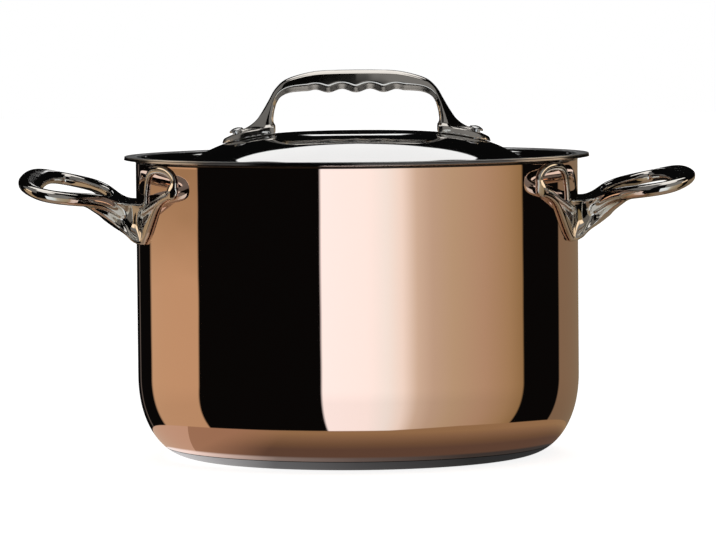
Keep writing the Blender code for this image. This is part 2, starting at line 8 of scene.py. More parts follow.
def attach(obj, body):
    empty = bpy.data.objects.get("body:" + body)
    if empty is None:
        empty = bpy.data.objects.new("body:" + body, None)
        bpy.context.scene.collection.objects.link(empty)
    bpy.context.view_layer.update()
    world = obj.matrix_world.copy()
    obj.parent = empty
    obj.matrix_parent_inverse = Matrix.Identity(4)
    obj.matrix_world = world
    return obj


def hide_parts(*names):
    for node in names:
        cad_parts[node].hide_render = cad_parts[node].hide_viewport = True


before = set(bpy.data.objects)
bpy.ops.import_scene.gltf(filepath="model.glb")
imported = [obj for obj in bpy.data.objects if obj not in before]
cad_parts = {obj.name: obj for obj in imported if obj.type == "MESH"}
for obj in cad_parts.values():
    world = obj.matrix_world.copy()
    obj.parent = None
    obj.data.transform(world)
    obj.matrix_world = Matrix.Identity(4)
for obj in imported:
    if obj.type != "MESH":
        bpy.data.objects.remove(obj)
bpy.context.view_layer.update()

# %% [markdown]
# A tall copper pot with a steel lining, two cast side handles and a lid that sits sunk in
# the mouth.  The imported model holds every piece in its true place, with few faces.  Here
# each piece gets a finer surface over the same sizes, and a finish.  Polished metal is a
# mirror, so small facets that a dull surface would hide show up as kinks in what it
# reflects.  That is why every piece is made again from its formula rather than smoothed.

# %% Sizes, in metres, as in the model
# Pot: wall, lip, heel and base
BODY_RADIUS = 0.100
WALL_TOP = 0.1330
GAP = 0.0003
COPPER_WALL = 0.0015
COPPER_LIP = 0.0007
LINING_WALL = 0.0005
LINING_LIP = 0.0004
LIP_BEND = 0.0007
LIP_ANGLE = 80.0
LIP_STRAIGHT = 0.0048
HEEL_WIDTH = 0.025
HEEL_HEIGHT = 0.037
HEEL_POWER = 2.15
DISC_HEIGHT = 0.0046
# Lid
LID_THICK = 0.0010
LID_SEAT_ANGLE = 26.0
DOME_RADIUS = 0.0780
DOME_RISE = 0.0149
BRIM_DROP = 0.0040
BRIM_SLOPE = 0.0070
# Handle and rivets of the lid
GRIP_TOP = 0.0278
ARCH_OUTER = 0.0465
ARCH_INNER = 0.0376
GRIP_HEIGHT = 0.0094
GRIP_HALF_WIDTH = 0.0070
LEG_HALF_WIDTH = 0.0118
SCALLOP_PITCH = 0.0126
SCALLOP_DEPTH = 0.0016
PAD_LENGTH = 0.0233
PAD_HALF_WIDTH = 0.0130
PAD_THICK = 0.0030
LID_RIVET_X = 0.0533
LID_RIVET_Y = 0.0068
LID_RIVET_HEAD = 0.0030
LID_RIVET_DOME = 0.0018
LID_RIVET_SHANK = 0.0018
LID_RIVET_TAIL = 0.0012
# Side handles and their rivets
EAR_DROP = 0.0015
EAR_RISE = 0.0153
EAR_BAR = 0.0038
EAR_THICK = 0.0026
FOOT_DEPTH = 0.0194
FOOT_THICK = 0.0034
FOOT_THIN = 0.0024
FOOT_BEVEL = 0.0026
NECK_LENGTH = 0.0125
BAIL_REACH = 0.0466
BAIL_HALF_SPAN = 0.0560
NECK_SHARE = 0.509
LOBE_OVERHANG = 0.0025
BAIL_WIDTH = 0.0092
OUTER_BAR_WIDTH = 0.0108
BAIL_HEIGHT = 0.0058
BAIL_RISE = 0.0117
HOLE_SLANT = 0.0042
LOBE_RISE = 0.0058
LOBE_RADIUS = 0.0038
LOBE_DEPTH = 0.0037
WALL_RIVET_SHANK = 0.0024
WALL_RIVET_HEAD = 0.0055
WALL_RIVET_DOME = 0.0020
LOWER_RIVET_DROP = 0.0122
LEFT_TWIST = 0.030
RIGHT_TWIST = 0.006
# What follows from these
COPPER_BOTTOM = DISC_HEIGHT + GAP
LINING_RADIUS = BODY_RADIUS - COPPER_WALL - GAP - LINING_WALL
NECK_TOP = WALL_TOP - EAR_DROP - EAR_RISE
NECK_HALF_WIDTH = NECK_SHARE * BAIL_HALF_SPAN
LOBE_ANGLE = math.degrees(math.asin((BAIL_HALF_SPAN + LOBE_OVERHANG) / BODY_RADIUS))
# Points in one turn of a wide piece and of a rivet
ROUND_STEPS = 288
RIVET_STEPS = 48
print("wall radius", BODY_RADIUS, "and height", WALL_TOP, "metres")

# %% [markdown]
# Blender takes a mesh as flat lists of numbers.  Each shape below is worked out as a whole
# array of points and one of corners, and this helper hands both over at once.  It also
# measures the volume that the faces enclose: a negative one means that they point inwards,
# and then every face is turned round.

# %% Arrays to a finished piece


def put(name, data):
    """A new object in the scene, at the origin."""
    made = bpy.data.objects.new(name, data)
    bpy.context.scene.collection.objects.link(made)
    return made


def pairs(first, second):
    """Two rows of numbers side by side, as the points of an outline."""
    return np.stack(np.broadcast_arrays(first, second), axis=-1)


def enclosed_volume(points, faces):
    """Sum of the pyramids from the origin to each face, by a third of the triple product."""
    a, b, c = (points[faces[:, i]] for i in range(3))
    total = np.einsum("ij,ij->i", a, np.cross(b, c)).sum()
    if faces.shape[1] == 4:
        total += np.einsum("ij,ij->i", a, np.cross(c, points[faces[:, 3]])).sum()
    return total / 6


def piece(name, points, groups, sharp=None):
    """One smooth-shaded object from points and arrays of triangles or quads."""
    points = np.asarray(points, dtype=float)
    groups = [np.asarray(faces) for faces in groups if len(faces)]
    if sum(enclosed_volume(points, faces) for faces in groups) < 0:
        groups = [faces[:, ::-1] for faces in groups]
    sizes = np.concatenate([np.full(len(faces), faces.shape[1]) for faces in groups])
    corners = np.concatenate([faces.ravel() for faces in groups])
    mesh = bpy.data.meshes.new(name)
    mesh.vertices.add(len(points))
    mesh.vertices.foreach_set("co", points.ravel())
    mesh.loops.add(len(corners))
    mesh.loops.foreach_set("vertex_index", corners.astype(np.int32))
    mesh.polygons.add(len(sizes))
    starts = np.concatenate([[0], np.cumsum(sizes)[:-1]])
    mesh.polygons.foreach_set("loop_start", starts.astype(np.int32))
    mesh.update(calc_edges=True)
    mesh.shade_smooth()
    if sharp:
        mesh.set_sharp_from_angle(angle=math.radians(sharp))
    print(name, len(points), "points,", int((sizes - 2).sum()), "triangles")
    return put(name, mesh)


# %% [markdown]
# Sheet metal that is pressed or spun is a turned shape: one outline in radius and height,
# carried round the axis.  Blender's Spin tool would do it too, but an array is quicker and
# the poles are closed exactly.

# %% Turned shapes


def turned_arrays(profile, steps=ROUND_STEPS):
    """Points at (radius cos turn, radius sin turn, height), with one point at each pole."""
    profile = np.asarray(profile, dtype=float)
    turn = np.arange(steps) * 2 * np.pi / steps
    rim = profile[1:-1]
    x = rim[:, 0, None] * np.cos(turn)
    y = rim[:, 0, None] * np.sin(turn)
    z = np.broadcast_to(rim[:, 1, None], x.shape)
    rows = np.stack([x, y, z], axis=-1).reshape(-1, 3)
    poles = np.array([(0.0, 0.0, profile[0, 1]), (0.0, 0.0, profile[-1, 1])])
    points = np.concatenate([rows, poles])
    number = np.arange(len(rows)).reshape(len(rim), steps)
    after = np.roll(number, -1, axis=1)
    quads = np.stack([number[:-1], after[:-1], after[1:], number[1:]], axis=-1).reshape(-1, 4)
    first = np.stack([np.full(steps, len(rows)), after[0], number[0]], axis=-1)
    last = np.stack([np.full(steps, len(rows) + 1), number[-1], after[-1]], axis=-1)
    return points, quads, np.concatenate([first, last])


def turned(name, profile, steps=ROUND_STEPS, place=None, sharp=30.0):
    """A turned piece, moved to a place of its own where one is given."""
    points, quads, triangles = turned_arrays(profile, steps)
    if place is not None:
        turn = np.array(place.to_3x3())
        points = points @ turn.T + np.array(place.translation)
    return piece(name, points, [quads, triangles], sharp)


# %% [markdown]
# The pot's side is one outline: a rounded lower corner, a straight wall, and a lip that
# bends out.  The corner is a quarter of a superellipse, a little squarer than an ellipse.
# Copper and steel are two layers, so the outline is moved inwards by each thickness.

# %% The pot's outline and its layers


def heel_point(turn):
    """Quarter superellipse: sine and cosine of the turn, each to the power 2/P."""
    across = np.sin(turn) ** (2 / HEEL_POWER)
    up = 1 - np.cos(turn) ** (2 / HEEL_POWER)
    return pairs(BODY_RADIUS - HEEL_WIDTH * (1 - across), HEEL_HEIGHT * up)


def heel_turn(height):
    """The turn at which the corner reaches a height: its formula solved for the turn."""
    return math.acos((1 - height / HEEL_HEIGHT) ** (HEEL_POWER / 2))


def pot_outside():
    """Middle of the bottom, corner, straight wall, an arc for the bend, and a straight lip."""
    heel = heel_point(np.linspace(heel_turn(COPPER_BOTTOM), np.pi / 2 - 1e-4, 60))
    wall = pairs(BODY_RADIUS, np.linspace(HEEL_HEIGHT + 0.002, WALL_TOP - 0.001, 24))
    bend = np.radians(LIP_ANGLE) * np.linspace(0, 1, 10)
    lip = LIP_BEND * pairs(1 - np.cos(bend), np.sin(bend)) + (BODY_RADIUS, WALL_TOP)
    slope = math.radians(90 - LIP_ANGLE)
    end = lip[-1] + LIP_STRAIGHT * np.array([math.cos(slope), math.sin(slope)])
    near_end = lip[-1] + 0.97 * (end - lip[-1])
    return np.concatenate([[(0.0, COPPER_BOTTOM)], heel, wall, lip, [near_end, end]])


def moved_in(profile, thickness):
    """Each point moved square to the outline by its own thickness, to the left of its run."""
    along = np.gradient(profile, axis=0)
    along /= np.linalg.norm(along, axis=1, keepdims=True)
    inward = pairs(-along[:, 1], along[:, 0])
    moved = profile + inward * np.asarray(thickness)[:, None]
    moved[0] = (0.0, profile[0, 1] + thickness[0])
    moved[:, 0] = np.maximum(moved[:, 0], 0.0)
    return moved


def layer(profile, wall, lip):
    """Thickness at each point: the wall's below the bend, thinning to the lip's edge."""
    share = np.clip((profile[:, 0] - BODY_RADIUS) / (LIP_BEND + LIP_STRAIGHT), 0, 1)
    return wall + (lip - wall) * share


outside = pot_outside()
copper_depth = layer(outside, COPPER_WALL, COPPER_LIP)
lining_depth = layer(outside, LINING_WALL, LINING_LIP)
copper_inside = moved_in(outside, copper_depth)
lining_outside = moved_in(outside, copper_depth + GAP)
lining_inside = moved_in(outside, copper_depth + GAP + lining_depth)
print("outline of", len(outside), "points")

# %% Copper, lining and base
copper_wall = turned("copper_wall_fine", np.concatenate([outside, copper_inside[::-1]]))
steel_inside = turned("steel_lining_fine", np.concatenate([lining_outside, lining_inside[::-1]]))
disc_rim = heel_point(heel_turn(DISC_HEIGHT) * np.linspace(0, 1, 16) ** 1.6)
disc_profile = np.concatenate([[(0.0, 0.0)], disc_rim, [(0.0, DISC_HEIGHT)]])
base_plate = turned("base_disc_fine", disc_profile)

# %% [markdown]
# The lid is one thin sheet: a dome that is flat in the middle and steep at its foot, a
# sunk brim round it, and a raised edge that rests in the lip's bend.  A height that falls
# with the fourth power of the radius gives that dome, and so the shape of the bright lens
# that it mirrors.

# %% The lid's sheet


def lid_edge():
    """Where the underside of the lid's edge rests, one gap off the lip's bend."""
    radius = LIP_BEND + (BODY_RADIUS - LINING_RADIUS) + GAP
    turn = math.radians(LID_SEAT_ANGLE)
    return BODY_RADIUS + LIP_BEND - radius * math.cos(turn), WALL_TOP + radius * math.sin(turn)


edge_radius, edge_height = lid_edge()
brim_height = edge_height + LID_THICK - BRIM_DROP


def dome_height(radius):
    """Brim plus the rise, less the rise times the fourth power of the share of the radius."""
    return brim_height + DOME_RISE * (1 - (radius / DOME_RADIUS) ** 4)


def rounded_path(points, pieces=8):
    """Cubics through every point, with a slope of half the step between its neighbours."""
    points = np.asarray(points, dtype=float)
    padded = np.concatenate([[2 * points[0] - points[1]], points, [2 * points[-1] - points[-2]]])
    a, b, c, d = padded[:-3], padded[1:-2], padded[2:-1], padded[3:]
    t = (np.arange(pieces) / pieces)[None, :, None]
    a, b, c, d = (part[:, None, :] for part in (a, b, c, d))
    swing = (c - a) * t + (2 * a - 5 * b + 4 * c - d) * t ** 2 + (3 * b - a - 3 * c + d) * t ** 3
    return np.concatenate([(b + swing / 2).reshape(-1, points.shape[1]), points[-1:]])


def lid_top():
    """The dome, then a smooth path down to the brim and up to the raised edge."""
    radius = DOME_RADIUS * np.linspace(0, 1, 70)
    dome = pairs(radius, dome_height(radius))
    brim_end = edge_radius - BRIM_SLOPE
    floor = brim_height - 0.1 * BRIM_DROP
    turn_up = [(DOME_RADIUS + 0.2 * (brim_end - DOME_RADIUS), floor), (brim_end, floor)]
    turn_up += [(edge_radius - 0.35 * BRIM_SLOPE, brim_height + 0.72 * BRIM_DROP)]
    turn_up += [(edge_radius, edge_height + LID_THICK)]
    start = [dome[-1]]
    return np.concatenate([dome[:-1], rounded_path(start + turn_up, 8)])


top = lid_top()
under = moved_in(top, np.full(len(top), -LID_THICK))
under[-1] = (edge_radius, edge_height)
lid_sheet = turned("lid_fine", np.concatenate([under, top[::-1]]))

# %% [markdown]
# Rivets are turned too.  A wall rivet has a broad low head inside the pot, and its shank
# ends inside the casting.  A lid rivet has a round head on the pad and a peened tail
# under the lid.

# %% Rivets


def dome_of(head, dome, base, count=10):
    """Points over a rivet's head: a short upright edge, then a quarter of an ellipse."""
    turn = np.linspace(0, np.pi / 2, count)
    edge = 0.22 * dome
    over = pairs(head * np.cos(turn), base + edge + (dome - edge) * np.sin(turn))
    return np.concatenate([[(head, base)], over[:-1], [(0.0, base + dome)]])


def facing(place, normal):
    """Frame at a place whose +Z is the normal."""
    return Matrix.Translation(place) @ Vector(normal).to_track_quat("Z", "Y").to_matrix().to_4x4()


def wall_rivet(name, angle, height, heading):
    """A shank from inside the casting to a low head, which stands off the round wall.

    The gap is the head's radius squared over twice the radius of the wall.
    """
    turn = math.radians(angle + heading)
    out = Vector((math.cos(turn), math.sin(turn), 0.0))
    sag = WALL_RIVET_HEAD ** 2 / (2 * LINING_RADIUS)
    grip = BODY_RADIUS - LINING_RADIUS + sag + GAP
    depth = GAP + 0.3 * FOOT_THIN
    shank = [(0.0, -depth), (WALL_RIVET_SHANK, -depth), (WALL_RIVET_SHANK, grip)]
    profile = np.concatenate([shank, dome_of(WALL_RIVET_HEAD, WALL_RIVET_DOME, grip)])
    place = out * BODY_RADIUS
    place.z = height
    return turned(name, profile, RIVET_STEPS, facing(place, -out), 40.0)


def lid_rivet(name, x, y):
    """A round head over the pad and a peened tail under the sheet, square to the dome."""
    radius = math.hypot(x, y)
    step = LID_RIVET_HEAD
    slope = (dome_height(radius + step) - dome_height(radius - step)) / (2 * step)
    normal = Vector((-slope * x / radius, -slope * y / radius, 1.0)).normalized()
    high = PAD_THICK + 3 * GAP
    low = -LID_THICK - 2 * GAP
    tail = [(0.0, low - LID_RIVET_TAIL), (0.5 * LID_RIVET_HEAD, low - 0.95 * LID_RIVET_TAIL)]
    tail += [(0.7 * LID_RIVET_HEAD, low - 0.8 * LID_RIVET_TAIL)]
    tail += [(0.85 * LID_RIVET_HEAD, low), (LID_RIVET_SHANK, low), (LID_RIVET_SHANK, high)]
    profile = np.concatenate([tail, dome_of(LID_RIVET_HEAD, 0.85 * LID_RIVET_DOME, high)])
    place = facing(Vector((x, y, dome_height(radius))), normal)
    return turned(name, profile, RIVET_STEPS, place, 40.0)


rivet_places = [
    ("a", LOBE_ANGLE, NECK_TOP + LOBE_RISE),
    ("b", -LOBE_ANGLE, NECK_TOP + LOBE_RISE),
    ("lower", 0.0, NECK_TOP - LOWER_RIVET_DROP),
]
wall_rivets = {}
for word, heading in (("right", 0.0), ("left", 180.0)):
    for ending, angle, height in rivet_places:
        node = f"{word}_rivet_{ending}"
        wall_rivets[node] = wall_rivet(node + "_fine", angle, height, heading)
lid_rivets = {}
for word, side in (("left", -1), ("right", 1)):
    for ending, depth in (("front", -1), ("back", 1)):
        node = f"lid_rivet_{word}_{ending}"
        lid_rivets[node] = lid_rivet(node + "_fine", side * LID_RIVET_X, depth * LID_RIVET_Y)

# %% [markdown]
# The handles are castings: bars, plates and bosses that flow into one another with a
# fillet wherever they meet.  Sweeps and booleans leave hard seams there.  So each casting
# is written as a field, a number that is negative inside the metal and grows with the
# distance from its surface.  Two fields are joined by a minimum that is rounded off over
# a small width, and that rounding is the fillet.

# %% Sums on fields


def joined(first, second, width):
    """Rounded minimum: the lesser, less a dip where the two differ by under the width."""
    share = np.clip(0.5 + 0.5 * (second - first) / width, 0, 1)
    return second + (first - second) * share - width * share * (1 - share)


def cut(first, second, width):
    """Rounded maximum, which keeps what is inside both."""
    return -joined(-first, -second, width)


def bar_field(across, up, half_width, half_height, power):
    """Distance off a superellipse: its level less one, over the length of its slope."""
    u = np.abs(across) / half_width + 1e-9
    v = np.abs(up) / half_height + 1e-9
    level = (u ** power + v ** power) ** (1 / power)
    slope_u = (u / level) ** (power - 1) / half_width
    slope_v = (v / level) ** (power - 1) / half_height
    return (level - 1) / np.hypot(slope_u, slope_v)


def lengths(path):
    """Length of each straight piece of a path."""
    return np.linalg.norm(np.diff(path, axis=0), axis=1)


def path_distance(u, v, path):
    """Least distance from each point (u, v) to the straight pieces of a path."""
    start = path[:-1]
    run = path[1:] - start
    du = u[..., None] - start[:, 0]
    dv = v[..., None] - start[:, 1]
    share = np.clip((du * run[:, 0] + dv * run[:, 1]) / (run ** 2).sum(axis=1), 0, 1)
    return np.hypot(du - share * run[:, 0], dv - share * run[:, 1]).min(axis=-1)


CHART_STEP = 0.0002


class Chart:
    """Values worked out once on a fine grid of (u, v), then read off between its lines."""

    def __init__(self, work, low, high):
        """Hands whole arrays of u and v between two corners to the work."""
        self.low = np.asarray(low)
        u = np.arange(low[0], high[0] + CHART_STEP, CHART_STEP)
        v = np.arange(low[1], high[1] + CHART_STEP, CHART_STEP)
        self.values = work(u[:, None] + 0 * v, v[None, :] + 0 * u[:, None])

    def __call__(self, u, v):
        """Weighted mean of the four grid points round each place."""
        u = np.clip((u - self.low[0]) / CHART_STEP, 0, self.values.shape[0] - 1.001)
        v = np.clip((v - self.low[1]) / CHART_STEP, 0, self.values.shape[1] - 1.001)
        i = u.astype(int)
        j = v.astype(int)
        s = u - i
        t = v - j
        near = self.values[i, j] * (1 - s) + self.values[i + 1, j] * s
        far = self.values[i, j + 1] * (1 - s) + self.values[i + 1, j + 1] * s
        return near * (1 - t) + far * t


def path_chart(path, low, high):
    """Chart of the least distance to a path."""
    return Chart(lambda u, v: path_distance(u, v, path), low, high)


def curve_of(table, soften=0.0):
    """Reads a short table of (place, value) pairs with no corners and no overshoot.

    The slope at each pair is the harmonic mean of the slopes beside it, or nothing where
    they differ in sign, and a cubic runs from pair to pair.  A softened curve is the
    average of that one under a bell curve of the given width.
    """
    place, value = np.asarray(table, dtype=float).T
    run = np.diff(place)
    rise = np.diff(value) / run
    same = rise[:-1] * rise[1:] > 0
    slope = np.zeros(len(place))
    total = np.where(same, rise[:-1] + rise[1:], 1)
    slope[1:-1] = np.where(same, 2 * rise[:-1] * rise[1:] / total, 0)
    slope[0], slope[-1] = rise[0], rise[-1]

    def read(at):
        """The cubic that has both pairs' values and slopes at its ends."""
        at = np.clip(at, place[0], place[-1])
        i = np.clip(np.searchsorted(place, at, side="right") - 1, 0, len(run) - 1)
        t = (at - place[i]) / run[i]
        bend = (3 - 2 * t) * t * t
        ease = run[i] * t * (1 - t) * ((1 - t) * slope[i] - t * slope[i + 1])
        return value[i] + (value[i + 1] - value[i]) * bend + ease

    if not soften:
        return read
    fine = np.linspace(place[0], place[-1], 800)
    count = int(3 * soften / (fine[1] - fine[0]))
    bell = np.exp(-np.linspace(-3, 3, 2 * count + 1) ** 2 / 2)
    drawn = read(fine)
    before = 2 * drawn[0] - drawn[count:0:-1]
    after = 2 * drawn[-1] - drawn[-2:-count - 2:-1]
    soft = np.convolve(np.concatenate([before, drawn, after]), bell / bell.sum(), "valid")
    return lambda at: np.interp(at, fine, soft)


print("a fillet 2 mm wide fills its corner by", -1000 * joined(0.0, 0.0, 0.002), "mm")

# %% [markdown]
# A field has no faces of its own.  The helper below reads it on a grid, puts one point in
# each small cube that the surface crosses, and joins the points round every crossed grid
# line with a quad.  Each point is then walked down the slope of the field until it lies
# on the surface.  Voxel remeshing gives much the same net, without that last walk, and
# leaves steps that a mirror shows.

# %% From a field to a mesh
CUBE = np.array([(a, b, c) for a in (0, 1) for b in (0, 1) for c in (0, 1)])
NEIGHBOURS = np.abs(CUBE[:, None] - CUBE[None]).sum(axis=-1) == 1
CUBE_EDGES = [(i, j) for i, j in zip(*np.nonzero(NEIGHBOURS)) if i < j]
SLOPE_STEP = 0.00015
WALKS = 5
FURTHEST = 0.6


def crossings(values, index):
    """Mean of the places where the field is zero on the twelve edges of each cube."""
    corners = np.stack([values[tuple((index + corner).T)] for corner in CUBE], axis=1)
    total = np.zeros((len(index), 3))
    count = np.zeros(len(index))
    for i, j in CUBE_EDGES:
        crossed = (corners[:, i] < 0) != (corners[:, j] < 0)
        gap = np.where(crossed, corners[:, i] - corners[:, j], 1.0)
        share = np.where(crossed, corners[:, i] / gap, 0.0)
        total += crossed[:, None] * (CUBE[i] + share[:, None] * (CUBE[j] - CUBE[i]))
        count += crossed
    return total / count[:, None]


def net_faces(inside, number):
    """One quad round each grid line whose two ends lie on different sides."""
    faces = []
    for axis in range(3):
        one, two = (axis + 1) % 3, (axis + 2) % 3
        low = np.take(inside, range(inside.shape[axis] - 1), axis=axis)
        high = np.take(inside, range(1, inside.shape[axis]), axis=axis)
        place = np.stack(np.nonzero(low != high), axis=-1)
        place = place[(place[:, one] > 0) & (place[:, two] > 0)]
        keep = (place[:, one] < inside.shape[one] - 1) & (place[:, two] < inside.shape[two] - 1)
        place = place[keep]
        back_one = np.eye(3, dtype=int)[one]
        back_two = np.eye(3, dtype=int)[two]
        ring = [place - back_one - back_two, place - back_two, place, place - back_one]
        quads = np.stack([number[tuple(cube.T)] for cube in ring], axis=-1)
        outward = inside[tuple(place.T)]
        faces.append(np.where(outward[:, None], quads, quads[:, ::-1]))
    return np.concatenate(faces)


def slope_of(field, points):
    """Central differences of the field along each axis."""
    slope = np.empty_like(points)
    for axis in range(3):
        move = SLOPE_STEP * np.eye(3)[axis]
        rise = field(*(points + move).T) - field(*(points - move).T)
        slope[:, axis] = rise / (2 * SLOPE_STEP)
    return slope


def cast(name, field, low, high, cell=0.00046):
    """The net of a field's surface, each point walked there by field over slope, a few times.

    No point goes further than a part of a cell from its start, so that no two of them cross.
    """
    axes = [np.arange(a, b + cell, cell) for a, b in zip(low, high)]
    shape = tuple(len(axis) for axis in axes)
    x, y, z = axes[0][:, None, None], axes[1][None, :, None], axes[2][None, None, :]
    values = np.broadcast_to(field(x, y, z), shape)
    inside = values < 0
    filled = np.zeros(tuple(size - 1 for size in shape), dtype=np.int8)
    for a, b, c in CUBE:
        filled += inside[a:shape[0] - 1 + a, b:shape[1] - 1 + b, c:shape[2] - 1 + c]
    index = np.stack(np.nonzero((filled > 0) & (filled < 8)), axis=-1)
    number = np.full(filled.shape, -1)
    number[tuple(index.T)] = np.arange(len(index))
    points = np.array([axis[0] for axis in axes]) + cell * (index + crossings(values, index))
    start = points.copy()
    for _ in range(WALKS):
        slope = slope_of(field, points)
        size = (slope ** 2).sum(axis=1) + 1e-6
        points = points - slope * (field(*points.T) / size)[:, None]
        points = start + np.clip(points - start, -FURTHEST * cell, FURTHEST * cell)
    return piece(name, points, [net_faces(inside, number)])


print("a cube has", len(CUBE_EDGES), "edges")

# %% [markdown]
# A side handle is one casting: a bar bent round the finger hole, a keeled neck with
# scooped sides, a pointed foot that lies on the wall, and on each side an arched ear that
# ends in a boss over its rivet.  The bar's middle line is a curve seen from above, and
# its height is a second curve over the distance from the pot.

# %% Curves of a side handle
# Reach from the wall and half span of the bar, and reach and climb, as shares of the full ones
BAIL_PLAN = [(0.085, 0.36), (0.18, 0.42), (0.275, 0.52), (0.37, 0.66), (0.457, 0.79)]
BAIL_PLAN += [(0.553, 0.90), (0.67, 0.98), (0.787, 1.0), (0.883, 0.93), (0.955, 0.74)]
BAIL_PLAN += [(0.99, 0.42), (1.0, 0.0)]
BAIL_CLIMB = [(-0.1, -0.05), (0.08, -0.05), (0.17, 0.07), (0.27, 0.32), (0.34, 0.42)]
BAIL_CLIMB += [(0.41, 0.50), (0.55, 0.60), (0.70, 0.70), (0.85, 0.82), (1.0, 1.0), (1.1, 1.12)]
NECK_STATIONS = np.array([
    # distance in neck lengths, top width, waist width and depth, ridge width and depth,
    # keel depth: widths in half widths of the neck, depths in depths of the foot
    (-0.24, 1.24, 1.10, 0.41, 1.20, 0.93, 0.97),
    (0.08, 1.13, 0.98, 0.41, 1.12, 0.88, 0.94),
    (0.28, 1.03, 0.87, 0.38, 1.01, 0.70, 0.83),
    (0.48, 1.00, 0.84, 0.36, 0.96, 0.60, 0.76),
    (0.72, 1.07, 0.93, 0.33, 0.99, 0.54, 0.75),
    (0.96, 1.20, 1.10, 0.31, 1.08, 0.49, 0.73),
    (1.20, 1.38, 1.30, 0.30, 1.24, 0.44, 0.66),
    (1.44, 1.57, 1.52, 0.29, 1.45, 0.37, 0.54),
    (1.68, 1.72, 1.68, 0.26, 1.62, 0.29, 0.38),
    (1.90, 1.74, 1.72, 0.20, 1.70, 0.22, 0.24),
])
neck_curves = [curve_of(NECK_STATIONS[:, [0, i]], 0.13) for i in range(7)]
climb = curve_of(BAIL_CLIMB, 0.04)
twist_share = curve_of([(-0.2, 0.0), (0.0, 0.0), (0.4, 1.0), (1.2, 1.0)])


def reach_share(x):
    """Share of the way from the wall to the far end of the bar."""
    return (x - BODY_RADIUS) / BAIL_REACH


def bail_top(x):
    """Height of the handle's upper side: the neck's top plus a share of the full rise."""
    return NECK_TOP + BAIL_RISE * climb(reach_share(x))


def neck_value(column, x):
    """One column of the neck's stations, read at a distance from the wall."""
    return neck_curves[column]((x - BODY_RADIUS) / NECK_LENGTH)


def neck_side(x, depth):
    """Half width of the neck: wide at its top, drawn in at the waist, wide at the ridge."""
    top_width, waist, waist_depth = (neck_value(i, x) for i in (1, 2, 3))
    ridge, ridge_depth = (neck_value(i, x) for i in (4, 5))
    upper = np.clip(1 - depth / waist_depth, 0, 1.2)
    lower = np.clip((depth - waist_depth) / (ridge_depth - waist_depth), 0, 1.3)
    flare = (top_width - waist) * upper ** 2 + (ridge - waist) * lower ** 2
    return NECK_HALF_WIDTH * (waist + flare)


bail_half = rounded_path(BAIL_PLAN, 8)
bail_line = np.concatenate([bail_half * (1, -1), bail_half[::-1][1:]])
bail_line = bail_line * (BAIL_REACH, BAIL_HALF_SPAN) + (BODY_RADIUS, 0.0)
bail_chart = path_chart(bail_line, (0.094, -0.066), (0.156, 0.066))
print("bail's middle line", round(float(lengths(bail_line).sum()), 4), "metres long")

# %% Curves of its foot and ears
# Length of one degree of turn along the wall
ARC = math.radians(1.0) * BODY_RADIUS
# Turn and height of an ear, as shares of the angle of its rivet and of its own rise
EAR_ROUTE = [(0.559, -0.14), (0.575, 0.30), (0.620, 0.73), (0.693, 0.94), (0.799, 1.0)]
EAR_ROUTE += [(0.911, 0.97), (0.989, 0.84), (1.025, 0.63), (1.0, LOBE_RISE / EAR_RISE)]
ear_line = rounded_path(np.array(EAR_ROUTE) * (LOBE_ANGLE * ARC, EAR_RISE), 8)
ear_chart = path_chart(ear_line, (-0.001, -0.03), (0.08, 0.03))
# Heights of the foot's two edges over the share of the turn, and the depth of the finger
# hole's near edge over the share of the half span
FOOT_LOW = [(0.0, 0.0), (0.489, 0.0), (0.550, 0.0010), (0.625, 0.0042), (0.712, 0.0102)]
FOOT_LOW += [(0.835, 0.0186), (1.0, 0.0218), (1.1, 0.0220)]
FOOT_HIGH = [(0.0, -0.0022), (0.545, -0.0022), (0.628, -0.0006), (0.754, 0.0019)]
FOOT_HIGH += [(0.866, 0.0047), (1.0, 0.0070), (1.1, 0.0071)]
HOLE_EDGE = [(0.0, 0.0), (0.18, 0.0003), (0.34, 0.0013), (0.50, 0.0035), (0.63, 0.0070)]
HOLE_EDGE += [(0.76, 0.0110), (0.80, 0.0180), (0.9, 0.05)]
foot_low = curve_of(FOOT_LOW, 0.03)
foot_high = curve_of(FOOT_HIGH, 0.03)
hole_edge = curve_of(HOLE_EDGE, 0.02)
BAR_WIDTHS = [(-0.2, BAIL_WIDTH), (0.78, BAIL_WIDTH), (1.0, OUTER_BAR_WIDTH)]
bar_width = curve_of(BAR_WIDTHS + [(1.2, OUTER_BAR_WIDTH)], 0.06)
neck_dip = curve_of([(-0.5, 0.0), (0.5, 0.0), (1.1, 0.0006), (1.9, 0.0022), (2.2, 0.0030)], 0.1)
bar_dip = curve_of([(-0.3, 0.0022), (0.10, 0.0014), (0.30, 0.0), (1.2, 0.0)], 0.04)
print("ear's middle line", round(float(lengths(ear_line).sum()), 4), "metres long")

# %% The side handle's field
# Widths over which its surfaces are rounded into one another
NECK_ROUND, KEEL_ROUND, HOLE_ROUND, NECK_END_ROUND = 0.0014, 0.0018, 0.0016, 0.0010
FOOT_ROUND, FOOT_END_ROUND, SEAT_ROUND = 0.0010, 0.0006, 0.0002
BAIL_FILLET, FOOT_FILLET, EAR_FILLET, LOBE_FILLET = 0.0012, 0.0008, 0.0014, 0.0012
NECK_END = 1.90 * NECK_LENGTH
# The finger hole's edge slants by its full slant over so much of depth
SLANT_DEPTH = 0.010


